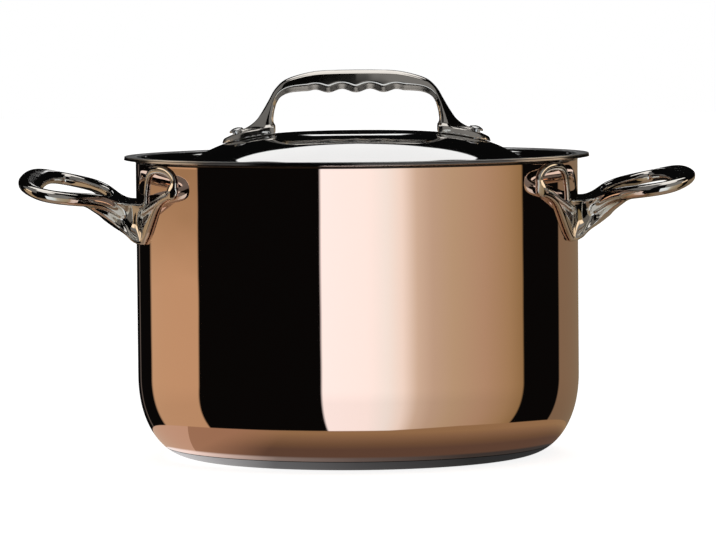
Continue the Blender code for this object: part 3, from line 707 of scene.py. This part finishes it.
def neck_field(x, y, z):
    """Below its top, inside its sides and above its keel, with the finger hole cut away."""
    high = bail_top(x) - neck_dip((x - BODY_RADIUS) / NECK_LENGTH)
    depth = (bail_top(x) - z) / FOOT_DEPTH
    ridge, ridge_depth, keel = (neck_value(i, x) for i in (4, 5, 6))
    under = keel - (keel - ridge_depth) * (np.abs(y) / (ridge * NECK_HALF_WIDTH)) ** 2
    side = np.abs(y) - neck_side(x, depth)
    metal = cut(cut(z - high, side, NECK_ROUND), (depth - under) * FOOT_DEPTH, KEEL_ROUND)
    share = np.maximum(1 - np.abs(y) / (0.7 * BAIL_HALF_SPAN), 0)
    slant = (NECK_TOP - z) * HOLE_SLANT / SLANT_DEPTH * share
    start = BODY_RADIUS + NECK_LENGTH + hole_edge(np.abs(y) / BAIL_HALF_SPAN) + slant
    metal = cut(metal, x - start, HOLE_ROUND)
    return cut(metal, x - BODY_RADIUS - NECK_END, NECK_END_ROUND)


def bail_field(x, y, z):
    """A superellipse carried along the bar's middle line."""
    across = bail_chart(x + 0 * y, y + 0 * x)
    share = reach_share(x)
    middle = bail_top(x) - BAIL_HEIGHT / 2 - bar_dip(share)
    return bar_field(across, z - middle, bar_width(share) / 2, BAIL_HEIGHT / 2, 2.5)


def foot_field(angle, radius, z):
    """A plate between its lower and upper edge curves, with thin edges and a wedge below."""
    turn = np.abs(angle) / LOBE_ANGLE
    low = NECK_TOP - FOOT_DEPTH + foot_low(turn)
    high = NECK_TOP + foot_high(turn)
    edges = cut(low - z, z - high, FOOT_ROUND)
    thick = FOOT_THICK + (0.55 * FOOT_THIN - FOOT_THICK) * np.minimum(turn, 1.0) ** 2
    wedge = FOOT_BEVEL * (0.5 + 1.2 * np.clip(1 - turn / 0.6, 0, 1))
    share = np.clip(np.minimum((z - low) / wedge, (high - z) / (0.5 * FOOT_BEVEL)), 0, 1)
    thick = 0.2 * FOOT_THIN + (0.8 * thick - 0.2 * FOOT_THIN) * share * (2 - share)
    metal = cut(edges, radius - BODY_RADIUS - GAP - thick, FOOT_ROUND)
    return cut(metal, (turn - 1) * LOBE_ANGLE * ARC, FOOT_END_ROUND)


def ear_field(angle, radius, z):
    """A low bar along the ear's line, its middle just outside the wall."""
    across = ear_chart(np.abs(angle) * ARC, z - NECK_TOP)
    outwards = radius - BODY_RADIUS - 0.12 * EAR_THICK
    return bar_field(across, outwards, EAR_BAR / 2, 0.40 * EAR_THICK, 2.2)


def lobe_field(angle, radius, z):
    """A low round boss over the rivet's end."""
    across = np.hypot((np.abs(angle) - LOBE_ANGLE) * ARC, z - NECK_TOP - LOBE_RISE)
    return bar_field(across, radius - BODY_RADIUS, LOBE_RADIUS, 0.44 * LOBE_DEPTH, 2.0)


def side_handle_field(twist):
    """All five joined, cut off at the wall; the neck and the bar are tilted sideways.

    The tilt lifts a point by its distance from the middle times the tangent of the angle.
    """
    def field(x, y, z):
        """The joined fields at whole arrays of places."""
        level = z - twist * y * twist_share(reach_share(x))
        radius = np.hypot(x, y)
        angle = np.degrees(np.arctan2(y, x))
        metal = joined(neck_field(x, y, level), bail_field(x, y, level), BAIL_FILLET)
        metal = joined(metal, foot_field(angle, radius, z), FOOT_FILLET)
        metal = joined(metal, ear_field(angle, radius, z), EAR_FILLET)
        metal = joined(metal, lobe_field(angle, radius, z), LOBE_FILLET)
        return cut(metal, BODY_RADIUS + GAP - radius, SEAT_ROUND)
    return field


print("the neck is", round(1000 * NECK_END, 1), "mm long")

# %% Both side handles
# The box in which a handle's surface is looked for, with a little room all round
WRAP, PAST_BAIL, HALF_BOX, ROOM = 0.022, 0.006, 0.064, 0.002
handle_low = (BODY_RADIUS - WRAP, -HALF_BOX, NECK_TOP - FOOT_DEPTH - ROOM)
handle_high = (BODY_RADIUS + BAIL_REACH + PAST_BAIL, HALF_BOX, WALL_TOP + ROOM)
right_handle = cast("right_handle_fine", side_handle_field(RIGHT_TWIST), handle_low, handle_high)
left_handle = cast("left_handle_fine", side_handle_field(-LEFT_TWIST), handle_low, handle_high)
left_handle.data.transform(Matrix.Rotation(math.pi, 4, "Z"))

# %% [markdown]
# The lid's handle is an arch.  Seen from the front it lies between an outer and an inner
# curve, and the inner one has finger bumps along the grip.  Its width depends on where a
# point lies between the two curves: narrow at the underside, full in the middle, and
# narrower again on top.  Towards the feet the outer side is planed off into a facet.

# %% Curves of the lid's handle
crown = dome_height(0.0) + GRIP_TOP
arch_foot = dome_height(ARCH_OUTER) + PAD_THICK
# Half span and height of the two curves, as shares of the full ones
OUTER_ARCH = [(0.0, 1.0), (0.20, 0.996), (0.39, 0.98), (0.56, 0.92), (0.70, 0.83)]
OUTER_ARCH += [(0.79, 0.68), (0.85, 0.50), (0.91, 0.32), (0.97, 0.17), (1.05, 0.05), (1.10, 0.0)]
INNER_ARCH = [(0.0, 1.0), (0.24, 1.0), (0.47, 1.0), (0.66, 0.99), (0.80, 0.955), (0.90, 0.86)]
INNER_ARCH += [(0.955, 0.70), (0.985, 0.50), (1.0, 0.30), (1.0, 0.10), (1.0, -0.06)]
# Width of the section from the inner curve, 0, to the outer one, 1, at the grip and the legs
GRIP_SECTION = [(0.0, 1.0), (0.34, 1.0), (0.80, 0.87), (0.88, 0.78), (1.0, 0.50)]
LEG_SECTION = [(0.0, 1.0), (0.42, 0.98), (0.50, 0.93), (1.0, 0.32)]
CHAMFER_START = 0.0028


def arch_line(table, span, low, high):
    """A smooth curve through a table of shares, drawn out to its span and heights."""
    return rounded_path(table, 8) * (span, high - low) + (0.0, low)


def scallop(x):
    """Half the depth times the cosine along the grip, faded out by the sixth power."""
    fade = np.maximum(1 - (np.abs(x) / (1.8 * SCALLOP_PITCH)) ** 6, 0)
    return SCALLOP_DEPTH / 2 * np.cos(2 * np.pi * x / SCALLOP_PITCH) * fade


outer_line = arch_line(OUTER_ARCH, ARCH_OUTER, arch_foot, crown)
inner_coarse = arch_line(INNER_ARCH, ARCH_INNER, arch_foot, crown - GRIP_HEIGHT)
spread = np.concatenate([[0], np.cumsum(lengths(inner_coarse))])
even = np.linspace(0, spread[-1], 160)
inner_plain = pairs(*(np.interp(even, spread, inner_coarse[:, i]) for i in range(2)))
inner_line = inner_plain.copy()
inner_line[:, 1] -= scallop(inner_line[:, 0])
arch_ring = np.concatenate([outer_line, inner_line[::-1]])


def within(u, v, ring):
    """Whether a line drawn sideways from each point crosses the ring an odd number of times."""
    a = ring
    b = np.roll(ring, -1, axis=0)
    straddles = (a[:, 1] > v[..., None]) != (b[:, 1] > v[..., None])
    run = np.where(b[:, 1] == a[:, 1], 1e-12, b[:, 1] - a[:, 1])
    crossing = a[:, 0] + (v[..., None] - a[:, 1]) / run * (b[:, 0] - a[:, 0])
    return (straddles & (u[..., None] < crossing)).sum(axis=-1) % 2 == 1


def arch_distance(u, v):
    """Distance to the nearer curve, with a minus sign between the two."""
    away = np.minimum(path_distance(u, v, outer_line), path_distance(u, v, inner_line))
    solid = within(u, v, np.concatenate([arch_ring, (arch_ring * (-1, 1))[::-1]]))
    return np.where(solid, -away, away)


chart_low = (-0.001, arch_foot - 0.006)
chart_high = (0.056, crown + 0.004)
lines = (outer_line, inner_line, inner_plain)
outer_chart, inner_chart, plain_chart = (path_chart(line, chart_low, chart_high) for line in lines)
arch_chart = Chart(arch_distance, chart_low, chart_high)
grip_width = curve_of(GRIP_SECTION, 0.02)
leg_width = curve_of(LEG_SECTION, 0.02)
print("the arch stands from", round(arch_foot, 4), "to", round(crown, 4), "metres")

# %% The lid handle's field
# Widths over which its surfaces are rounded into one another
ARCH_ROUND, CHAMFER_ROUND = 0.0006, 0.0004
PAD_END_ROUND, PAD_ROUND, PAD_FILLET = 0.0006, 0.0008, 0.0026
PAD_END = ARCH_INNER + PAD_LENGTH
# Lean of a pad's edge, and how far from its end it thins
PAD_LEAN, PAD_TAPER = 0.32, 0.012


def arch_field(x, y, z):
    """Inside the arch seen from the front, inside its width, and behind the chamfer."""
    u = np.abs(x)
    to_inner = plain_chart(u, z)
    share = to_inner / (to_inner + outer_chart(u, z) + 1e-9)
    low = np.clip(1 - (z - arch_foot) / (crown - arch_foot), 0, 1) ** 2
    half = GRIP_HALF_WIDTH + (LEG_HALF_WIDTH - GRIP_HALF_WIDTH) * low
    width = grip_width(share) + (leg_width(share) - grip_width(share)) * np.minimum(1.6 * low, 1)
    metal = cut(arch_chart(u, z), np.abs(y) - half * width, ARCH_ROUND)
    narrow = 0.4 + 0.6 * np.clip(1 - 2 * low, 0, 1)
    chamfer = np.abs(y) - half + CHAMFER_START * narrow - 0.9 * inner_chart(u, z)
    return cut(metal, 0.75 * chamfer, CHAMFER_ROUND)


def pad_field(x, y, z):
    """A tongue with a round end that follows the dome, one thickness above it."""
    u = np.abs(x)
    height = z - dome_height(np.hypot(x, y))
    round_end = np.hypot(np.maximum(u - PAD_END + PAD_HALF_WIDTH, 0), y) - PAD_HALF_WIDTH
    plan = cut(round_end + PAD_LEAN * (height - GAP), ARCH_INNER - GAP - u, PAD_END_ROUND)
    thin = np.clip((PAD_END - u) / PAD_TAPER, 0, 1)
    thick = PAD_THICK * (0.62 + 0.38 * thin * (2 - thin))
    return cut(cut(plan, height - GAP - thick, PAD_ROUND), GAP - height, SEAT_ROUND)


def lid_handle_field(x, y, z):
    """Arch and pads joined, cut off one gap over the dome."""
    metal = joined(arch_field(x, y, z), pad_field(x, y, z), PAD_FILLET)
    return cut(metal, GAP - z + dome_height(np.hypot(x, y)), SEAT_ROUND)


print("the pads end", round(1000 * PAD_END, 1), "mm from the axis")

# %% The lid's handle
reach = PAD_END + ROOM
low_corner = (-reach, -PAD_HALF_WIDTH - ROOM, dome_height(reach) - ROOM / 2)
high_corner = (reach, PAD_HALF_WIDTH + ROOM, crown + ROOM)
lid_grip = cast("lid_handle_fine", lid_handle_field, low_corner, high_corner, 0.00042)

# %% [markdown]
# Each fine piece stands for its node of the model, and moves with the pot or the lid.

# %% What each piece stands for, and what it rides on
on_pot = {"copper_pot_shell": copper_wall, "steel_lining": steel_inside}
on_pot |= {"magnetic_base_disc": base_plate, "right_side_handle": right_handle}
on_pot |= {"left_side_handle": left_handle, **wall_rivets}
on_lid = {"lid_shell": lid_sheet, "lid_handle": lid_grip, **lid_rivets}
for node, fine in on_pot.items():
    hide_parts(node)
    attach(fine, "pot")
for node, fine in on_lid.items():
    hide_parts(node)
    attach(fine, "lid")
print(len(wall_rivets) + len(lid_rivets), "rivets")

# %% [markdown]
# Finishes are node graphs.  Writing each sum as a Python expression keeps them readable:
# a small class wraps a socket, and a plus sign between two of them adds a Math node.

# %% Sums on sockets


def sum_of(operation, swapped=False):
    """A method that adds a Math node for its value and the other, in this order or swapped."""
    def method(*values):
        """The node's result, as a new value."""
        return values[0].graph.maths(operation, *(values[::-1] if swapped else values))
    return method


class Value:
    """A shader socket on which sums can be written."""

    def __init__(self, graph, socket):
        """A socket, and the graph that its sums are added to."""
        self.graph = graph
        self.socket = socket

    __add__ = __radd__ = sum_of("ADD")
    __sub__ = sum_of("SUBTRACT")
    __rsub__ = sum_of("SUBTRACT", swapped=True)
    __mul__ = __rmul__ = sum_of("MULTIPLY")
    __truediv__ = sum_of("DIVIDE")
    __gt__ = sum_of("GREATER_THAN")
    __lt__ = sum_of("LESS_THAN")
    __abs__ = sum_of("ABSOLUTE")


class Graph:
    """Adds nodes to a tree."""

    def __init__(self, tree):
        """The tree that the nodes go into."""
        self.tree = tree

    def feed(self, socket, value):
        """Links a value to a socket, or sets a constant; a colour gets its alpha of 1."""
        if isinstance(value, Value):
            self.tree.links.new(value.socket, socket)
        else:
            socket.default_value = (*value, 1.0) if isinstance(value, tuple) else value

    def node(self, kind, *values, settings=None, out=0, **named):
        """A node with its settings made first, then what goes into its sockets."""
        made = self.tree.nodes.new(kind)
        for word, setting in (settings or {}).items():
            if word == "stops":
                set_stops(made.color_ramp, setting)
            else:
                setattr(made, word, setting)
        for place, value in enumerate(values):
            self.feed(made.inputs[place], value)
        for word, value in named.items():
            self.feed(made.inputs[word.replace("_", " ")], value)
        return Value(self, made.outputs[out]) if made.outputs else None

    def maths(self, operation, *values):
        """A Math node."""
        return self.node("ShaderNodeMath", *values, settings={"operation": operation})

    def mix(self, share, first, second):
        """Mix of two colours, which are sockets 6 and 7 of the node, and 2 of its outputs."""
        made = self.tree.nodes.new("ShaderNodeMix")
        made.data_type = "RGBA"
        for place, value in ((0, share), (6, first), (7, second)):
            self.feed(made.inputs[place], value)
        return Value(self, made.outputs[2])

    def split(self, vector):
        """The three parts of a vector."""
        made = self.tree.nodes.new("ShaderNodeSeparateXYZ")
        self.feed(made.inputs[0], vector)
        return [Value(self, made.outputs[i]) for i in range(3)]

    def ramp(self, place, stops):
        """A colour ramp, read at a place from 0 to 1."""
        return self.node("ShaderNodeValToRGB", place, settings={"stops": stops})

    def from_axis(self, x, y):
        """Distance from the axis: the root of x squared plus y squared."""
        return self.maths("SQRT", x * x + y * y)

    def noise(self, vector, scale, detail):
        """Noise with so many waves to a metre."""
        return self.node("ShaderNodeTexNoise", Vector=vector, Scale=scale, Detail=detail)


def soft_step(value, start, end):
    """0 up to the start, 1 from the end, and a straight ramp between them."""
    ends = (value, start, end, 0.0, 1.0)
    return value.graph.node("ShaderNodeMapRange", *ends, settings={"clamp": True})


def between(value, start, full, wane, end):
    """1 from full to wane, with straight ramps to 0 at the start and the end."""
    return soft_step(value, start, full) * (1 - soft_step(value, wane, end))


def set_stops(ramp, stops):
    """Keeps one stop of a colour ramp, sets it, and adds the rest."""
    while len(ramp.elements) > 1:
        ramp.elements.remove(ramp.elements[-1])
    ramp.elements[0].position = stops[0][0]
    ramp.elements[0].color = (*stops[0][1], 1.0)
    for position, colour in stops[1:]:
        ramp.elements.new(position).color = (*colour, 1.0)


print("sums on sockets: + - * / > < abs")

# %% [markdown]
# All the metals start from the same Principled shader, with Metallic at 1.  They differ
# in colour, in how sharp their mirror is, and in what the polishing wheel left behind.
# Each is a mix of two close colours over a noise, and a slight bump.

# %% A metal to start from


def metal(name):
    """A material of Metallic 1, with its graph, its shader and Object coordinates."""
    made = bpy.data.materials.new(name)
    made.use_nodes = True
    graph = Graph(made.node_tree)
    shader = made.node_tree.nodes["Principled BSDF"]
    shader.inputs["Metallic"].default_value = 1.0
    print("metal:", name)
    return made, graph, shader, graph.node("ShaderNodeTexCoord", out="Object")


def finish_with(graph, shader, colour, roughness, height, distance):
    """Feeds what changes over the surface; the bump is the height times the distance."""
    graph.feed(shader.inputs["Base Color"], colour)
    graph.feed(shader.inputs["Roughness"], roughness)
    normal = graph.node("ShaderNodeBump", Strength=1.0, Distance=distance, Height=height)
    graph.feed(shader.inputs["Normal"], normal)


# Metres that a bump of 1 stands out
BUMP = 0.00003

# %% [markdown]
# The wall is spun and buffed.  It is a clean mirror, with a slow unevenness of a few
# centimetres left by the spinning, and a faint difference in colour from place to place.
# Under the lip the bend is painted nearly black, as painted shade, and the straight part
# outside it is left less polished and a dull grey.  Both could be pieces of the mesh with
# metals of their own.  Here they are told apart by height and by distance from the axis, so
# no seam is needed.

# %% Polished copper
LIP_START = BODY_RADIUS + 0.0008
copper, graph, shader, place = metal("polished_copper_mirror")
x, y, z = graph.split(place)
slow = graph.noise(place, 34.0, 1.0)
cloud = graph.noise(place, 60.0, 3.0)
tint = graph.mix(cloud * 0.35, (0.91, 0.66, 0.56), (0.89, 0.64, 0.54))
# The straight lip outside the bend is less polished and a dull grey
edge = (graph.from_axis(x, y) > LIP_START) * (z > WALL_TOP)
# The bend is painted nearly black: painted shade under the lip
bend = (z > WALL_TOP - 0.0001) - edge
tint = graph.mix(bend, tint, (0.06, 0.05, 0.045))
tint = graph.mix(edge, tint, (0.28, 0.26, 0.25))
finish_with(graph, shader, tint, 0.016 + cloud * 0.010 + edge * 0.15, slow, 2 * BUMP)

# %% [markdown]
# The lid is pressed steel, polished all over, and the cleanest mirror after the copper.

# %% Mirror steel for the lid
mirror, graph, shader, place = metal("mirror_steel")
cloud = graph.noise(place, 45.0, 3.0)
tint = graph.mix(cloud, (0.66, 0.655, 0.65), (0.62, 0.615, 0.61))
finish_with(graph, shader, tint, 0.03 + cloud * 0.02, graph.noise(place, 30.0, 1.0), BUMP)

# %% [markdown]
# A casting is buffed by hand, so its mirror is a little softer and less even.  On the
# lid's handle, the pads and what faces down are left more satin.  How far a face looks
# down is read from its normal.

# %% Polished castings
cast_steel, graph, shader, place = metal("polished_cast_steel")
cloud = graph.noise(place, 90.0, 3.0)
tint = graph.mix(cloud, (0.66, 0.62, 0.57), (0.62, 0.58, 0.53))
height = graph.split(place)[2]
faces_up = graph.split(graph.node("ShaderNodeTexCoord", out="Normal"))[2]
under = soft_step(0 - faces_up, 0.25, 0.65)
above_pot = soft_step(height, WALL_TOP, WALL_TOP + 0.01)
low_on_lid = 1 - soft_step(height, arch_foot, arch_foot + 0.004)
satin_share = (under * 0.22 + low_on_lid * 0.13) * above_pot
roughness = 0.045 + cloud * 0.02 + satin_share
finish_with(graph, shader, tint, roughness, graph.noise(place, 70.0, 1.0), BUMP)

# %% [markdown]
# Brushing follows the turning, so the scratches run round the axis.  An image wrapped
# round would need a seam.  Noise that is long along the turn and short in height and
# radius draws them without one.

# %% Brushed steel of the lining and the base


def brushed(name, colour, roughness):
    """Scratches from noise at (0.4 turn, 900 radius, 900 height), over a slow cloud."""
    made, graph, shader, place = metal(name)
    x, y, z = graph.split(place)
    turn = graph.maths("ARCTAN2", y, x)
    stretched = (turn * 0.4, graph.from_axis(x, y) * 900.0, z * 900.0)
    lines = graph.noise(graph.node("ShaderNodeCombineXYZ", *stretched), 2.0, 4.0)
    share = lines * 0.6 + graph.noise(place, 25.0, 2.0) * 0.4
    tint = graph.mix(share, colour, tuple(0.86 * part for part in colour))
    finish_with(graph, shader, tint, roughness + lines * 0.10, lines, BUMP)
    return made


satin = brushed("brushed_steel_inside", (0.60, 0.60, 0.60), 0.24)
grey_base = brushed("brushed_steel_base", (0.56, 0.555, 0.56), 0.30)

# %% [markdown]
# The rivets are set and then left as they are: a satin grey with a fine grain.

# %% Rivet steel, and the finishes on the pieces
rivet_steel, graph, shader, place = metal("satin_rivet_steel")
grain = graph.noise(place, 700.0, 3.0)
tint = graph.mix(grain, (0.62, 0.61, 0.60), (0.54, 0.53, 0.52))
finish_with(graph, shader, tint, 0.14 + grain * 0.08, grain, BUMP)
finishes = {
    "copper_pot_shell": (copper, "polished_copper"),
    "steel_lining": (satin, "brushed_steel"),
    "magnetic_base_disc": (grey_base, "brushed_steel"),
    "lid_shell": (mirror, "polished_steel"),
    "right_side_handle": (cast_steel, "polished_steel"),
    "left_side_handle": (cast_steel, "polished_steel"),
    "lid_handle": (cast_steel, "polished_steel"),
}
for node, fine in (on_pot | on_lid).items():
    finish, slot = finishes.get(node, (rivet_steel, "rivet_steel"))
    fine.data.materials.append(finish)
    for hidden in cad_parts[node].material_slots:
        hidden.material = finish
print(len(on_pot | on_lid), "pieces finished")

# %% [markdown]
# A mirror is only as good as what stands round it.  The studio is a sky of lights and
# dark screens, each set by its direction from the pot.  Round the horizon lies a row of
# bands, which the upright wall mirrors.  Over them the sky is dark, but for the lights
# that the lid and the handles mirror: greys in front and at the left, a cream glow at
# each side, a large soft box high up behind with a thin strip under it, and a panel
# overhead.  Far down lies the table.  The camera itself sees plain white.

# %% Directions in the studio
world = bpy.data.worlds.new("studio")
bpy.context.scene.world = world
world.use_nodes = True
world.node_tree.nodes.clear()
graph = Graph(world.node_tree)
x, y, z = graph.split(graph.node("ShaderNodeTexCoord", out="Generated"))
around = graph.maths("ARCTAN2", x, 0 - y) * (0.5 / math.pi) + 0.5
turned_by = around * 360 - 180
behind = abs(turned_by)
up = graph.maths("ARCSINE", z) * (180 / math.pi)
down = 0 - up
print("turn and height of a direction in", len(world.node_tree.nodes), "nodes")

# %% Bands round the horizon
LEVEL = 2.0
DARK = (0.003, 0.003, 0.003)
TAN = (0.575, 0.406, 0.249)
DIM = (0.23, 0.174, 0.112)
BANDS = [
    # degrees from the camera's side, to the right, and the light there
    (-180.0, DARK), (-160.5, DARK), (-159.5, (0.35, 0.304, 0.273)), (-158.5, DARK),
    (-137.0, DARK), (-136.0, TAN), (-91.1, TAN), (-90.3, DARK), (-18.7, DARK),
    (-18.4, (1.16, 1.27, 1.38)), (4.3, (1.14, 1.23, 1.31)), (14.8, (1.01, 1.15, 1.2)),
    (22.7, (0.97, 1, 0.978)), (30.7, (0.68, 0.625, 0.525)), (38.9, (0.566, 0.491, 0.387)),
    (50.2, (0.52, 0.442, 0.306)), (68.0, (0.477, 0.366, 0.252)),
    (84.6, (0.396, 0.295, 0.166)), (94.6, (0.31, 0.223, 0.106)), (95.2, DARK),
    (128.0, DARK), (128.8, DIM), (180.0, DIM),
]
stops = [((turn + 180) / 360, tuple(part / LEVEL for part in light)) for turn, light in BANDS]
left_side = between(turned_by, -125.0, -105.0, -60.0, -40.0)
lean = left_side * soft_step(down, 4.0, 34.0) * (5.7 / 360)
sky = graph.ramp(around + lean, stops)
print(len(BANDS), "stops of light round the horizon")

# %% Lights over and under the bands
dark = tuple(part / LEVEL for part in DARK)
tan_only = (turned_by < -91.1) * (turned_by > -136.0)
high = soft_step(up, 2.0, 6.0)
front = soft_step(turned_by, 0.0, 1.0) * (behind < 97.0)
left = (turned_by > -140.0) * (turned_by < -55.0)
sides = between(behind, 84.0, 88.0, 122.0, 126.0)
box_edge = graph.maths("MINIMUM", 33.2 + (180 - behind) * 0.32, 36.2)
box_side = graph.maths("MAXIMUM", 194.0 - up, 154.0)
box = soft_step(up - box_edge, 0.0, 0.6) * soft_step(behind - box_side, -0.3, 0.3)
LIGHTS = [
    # how much a light or screen covers what is before it in the list, and its colour
    # The tan band and all the bands dim, upwards and downwards
    (soft_step(up, -3.6, -2.2) * tan_only * 0.45, (0.05, 0.03, 0.0)),
    (soft_step(down, 5.0, 14.0) * 0.08, dark),
    # Screens: behind, from the horizon up, and then all round
    (soft_step(up, -1.0, 0.0) * (behind > 112.0), dark),
    (high, dark),
    # Greys in front and at the left, and the cream glow at each side
    (high * front * (1 - soft_step(up, 60.0, 62.0)), (0.13, 0.13, 0.13)),
    (soft_step(up, 9.0, 14.0) * left, (0.10, 0.10, 0.10)),
    (between(up, 2.5, 4.0, 11.0, 14.0) * sides, (0.80, 0.63, 0.45)),
    # The box behind, the strip under it, the panel overhead, and the table
    (box, (0.65, 0.65, 0.65)),
    (between(up, 7.8, 8.3, 11.0, 11.6) * soft_step(behind, 178.7, 178.9), (0.60, 0.60, 0.60)),
    (soft_step(up, 68.0, 71.0), (0.60, 0.60, 0.60)),
    (soft_step(down, 41.0, 45.0), (0.17, 0.125, 0.09)),
]
for share, light in LIGHTS:
    sky = graph.mix(share, sky, light)
studio = graph.node("ShaderNodeBackground", sky, LEVEL)
plain = graph.node("ShaderNodeBackground", (1, 1, 1), 1.0)
camera_ray = graph.node("ShaderNodeLightPath", out="Is Camera Ray")
either = graph.node("ShaderNodeMixShader", camera_ray, studio, plain)
graph.node("ShaderNodeOutputWorld", either)
print(len(LIGHTS), "lights and screens over them")

# %% [markdown]
# To the camera the floor is a plain pale sheet.  It is white where nothing shades it, and it
# keeps the pot's soft shadow.  A mirror sees only the part of it close to the pot, with
# light and shade painted on it as a glow: a painted shadow as a dim ring round the base,
# painted light brighter at the left, and painted light and shade right under the edge of
# the base.

# %% Floor
FLOOR_HALF = 6.0
BASE_EDGE = 0.090
SEEN_RADIUS = 0.1185
floor_mesh = bpy.data.meshes.new("floor")
signs = ((-1, -1), (1, -1), (1, 1), (-1, 1))
corners = [(x * FLOOR_HALF, y * FLOOR_HALF, 0.0) for x, y in signs]
floor_mesh.from_pydata(corners, [], [(0, 1, 2, 3)])
floor = put("floor", floor_mesh)
pale = bpy.data.materials.new("pale_floor")
pale.use_nodes = True
pale.node_tree.nodes.clear()
floor_mesh.materials.append(pale)
print("floor", 2 * FLOOR_HALF, "metres wide")

# %% The floor as a mirror sees it, with painted light and shade
PAINTED_SHADE_RING = [
    # share of 40 mm outside the base's edge, and the painted light there, darkest by the base as a
    # painted shadow
    (0.0, (0.117, 0.077, 0.056)), (0.175, (0.117, 0.077, 0.056)), (0.30, (0.167, 0.111, 0.066)),
    (0.45, (0.232, 0.157, 0.093)), (0.625, (0.306, 0.213, 0.115)),
]
PAINTED_LIGHT_AND_SHADE_UNDER_BASE = [
    # share of 140 mm to the right of x = -80 mm, and the painted light and shade there
    (0.0, (1.0, 0.97, 0.97)), (0.10, (0.72, 0.70, 0.70)), (0.30, (0.24, 0.235, 0.235)),
    (0.571, (0.13, 0.125, 0.125)), (0.93, (0.05, 0.05, 0.05)),
]
graph = Graph(pale.node_tree)
x, y, z = graph.split(graph.node("ShaderNodeTexCoord", out="Object"))
radius = graph.from_axis(x, y)
# Painted shadow: the ring is darkest next to the base
ring = graph.ramp((radius - BASE_EDGE) * 25.0, PAINTED_SHADE_RING)
# Painted light: at the left the ring is brighter, and brightest beside and behind the pot
ring = graph.mix(soft_step(0 - x, 0.045, 0.078), ring, (0.36, 0.232, 0.152))
ring = graph.mix((x < -0.070) * (y > -0.046), ring, (0.56, 0.41, 0.31))
# Painted light and shade under the edge of the base: bright at the left, dark at the right
painted_light_and_shade_under_base = graph.ramp((x + 0.08) / 0.14, PAINTED_LIGHT_AND_SHADE_UNDER_BASE)
painted_floor_light_and_shade = graph.mix(soft_step(radius, 0.0895, 0.0910), painted_light_and_shade_under_base, ring)
# A mirror sees the floor as far out as this, a little further at the right
rim = SEEN_RADIUS + soft_step(x, 0.02, 0.07) * 0.004
near_pot = 1 - soft_step(radius - rim, 0.0, 0.0012)
clear = graph.node("ShaderNodeBsdfTransparent", (1, 1, 1))
# A glow paints this light and shade on the floor, for mirrors only
painted_floor_glow = graph.node("ShaderNodeEmission", painted_floor_light_and_shade, 1.0)
mirrored = graph.node("ShaderNodeMixShader", near_pot, clear, painted_floor_glow)
print(len(PAINTED_SHADE_RING) + len(PAINTED_LIGHT_AND_SHADE_UNDER_BASE), "stops of light close to the pot")

# %% The floor as the camera sees it
paper = graph.node("ShaderNodeBsdfDiffuse", (0.80, 0.79, 0.78))
glow = graph.node("ShaderNodeEmission", (1, 1, 1), 0.86)
lit = graph.node("ShaderNodeAddShader", paper, glow)
glossy_ray = graph.node("ShaderNodeLightPath", out="Is Glossy Ray")
camera_ray = graph.node("ShaderNodeLightPath", out="Is Camera Ray")
other = graph.node("ShaderNodeMixShader", glossy_ray, paper, mirrored)
whole = graph.node("ShaderNodeMixShader", camera_ray, other, lit)
graph.node("ShaderNodeOutputMaterial", whole)
print("floor's shader in", len(pale.node_tree.nodes), "nodes")

# %% [markdown]
# The camera stands two metres away, a little above the lid, with a long lens, and looks at
# the middle of the pot.  Its height comes from how far open the round edges are seen.  A
# shift of well under a pixel puts the pot where the photograph has it.

# %% Camera
WIDE, TALL = 716, 540
camera_data = bpy.data.cameras.new("camera")
camera = put("camera", camera_data)
CAMERA_PLACE = Vector((0.0, -2.05, 0.205))
LOOKS_AT = Vector((0.0, 0.0, 0.0834))
PIXELS_PER_METRE = 2204.0
AXIS_X, LIP_Y = 356.6, 155.9
LIP_HEIGHT = 0.1351
ROLL = math.radians(0.52)
view_line = LOOKS_AT - CAMERA_PLACE
aim = view_line.to_track_quat("-Z", "Y").to_matrix().to_4x4()
camera_data.sensor_width = 36.0
camera_data.lens = PIXELS_PER_METRE * view_line.length * camera_data.sensor_width / WIDE
lip = aim.inverted() @ (Vector((0.0, 0.0, LIP_HEIGHT)) - CAMERA_PLACE)
rise = PIXELS_PER_METRE * view_line.length * lip.y / -lip.z
camera_data.shift_x = 0.5 - (AXIS_X + rise * math.sin(ROLL)) / WIDE
camera_data.shift_y = (LIP_Y + rise * math.cos(ROLL) - TALL / 2) / WIDE
camera.matrix_world = Matrix.Translation(CAMERA_PLACE) @ aim @ Matrix.Rotation(-ROLL, 4, "Z")
camera_data.clip_end = 60.0
bpy.context.scene.camera = camera
bpy.context.scene.view_settings.view_transform = "Standard"
print("lens", round(camera_data.lens, 1), "mm")
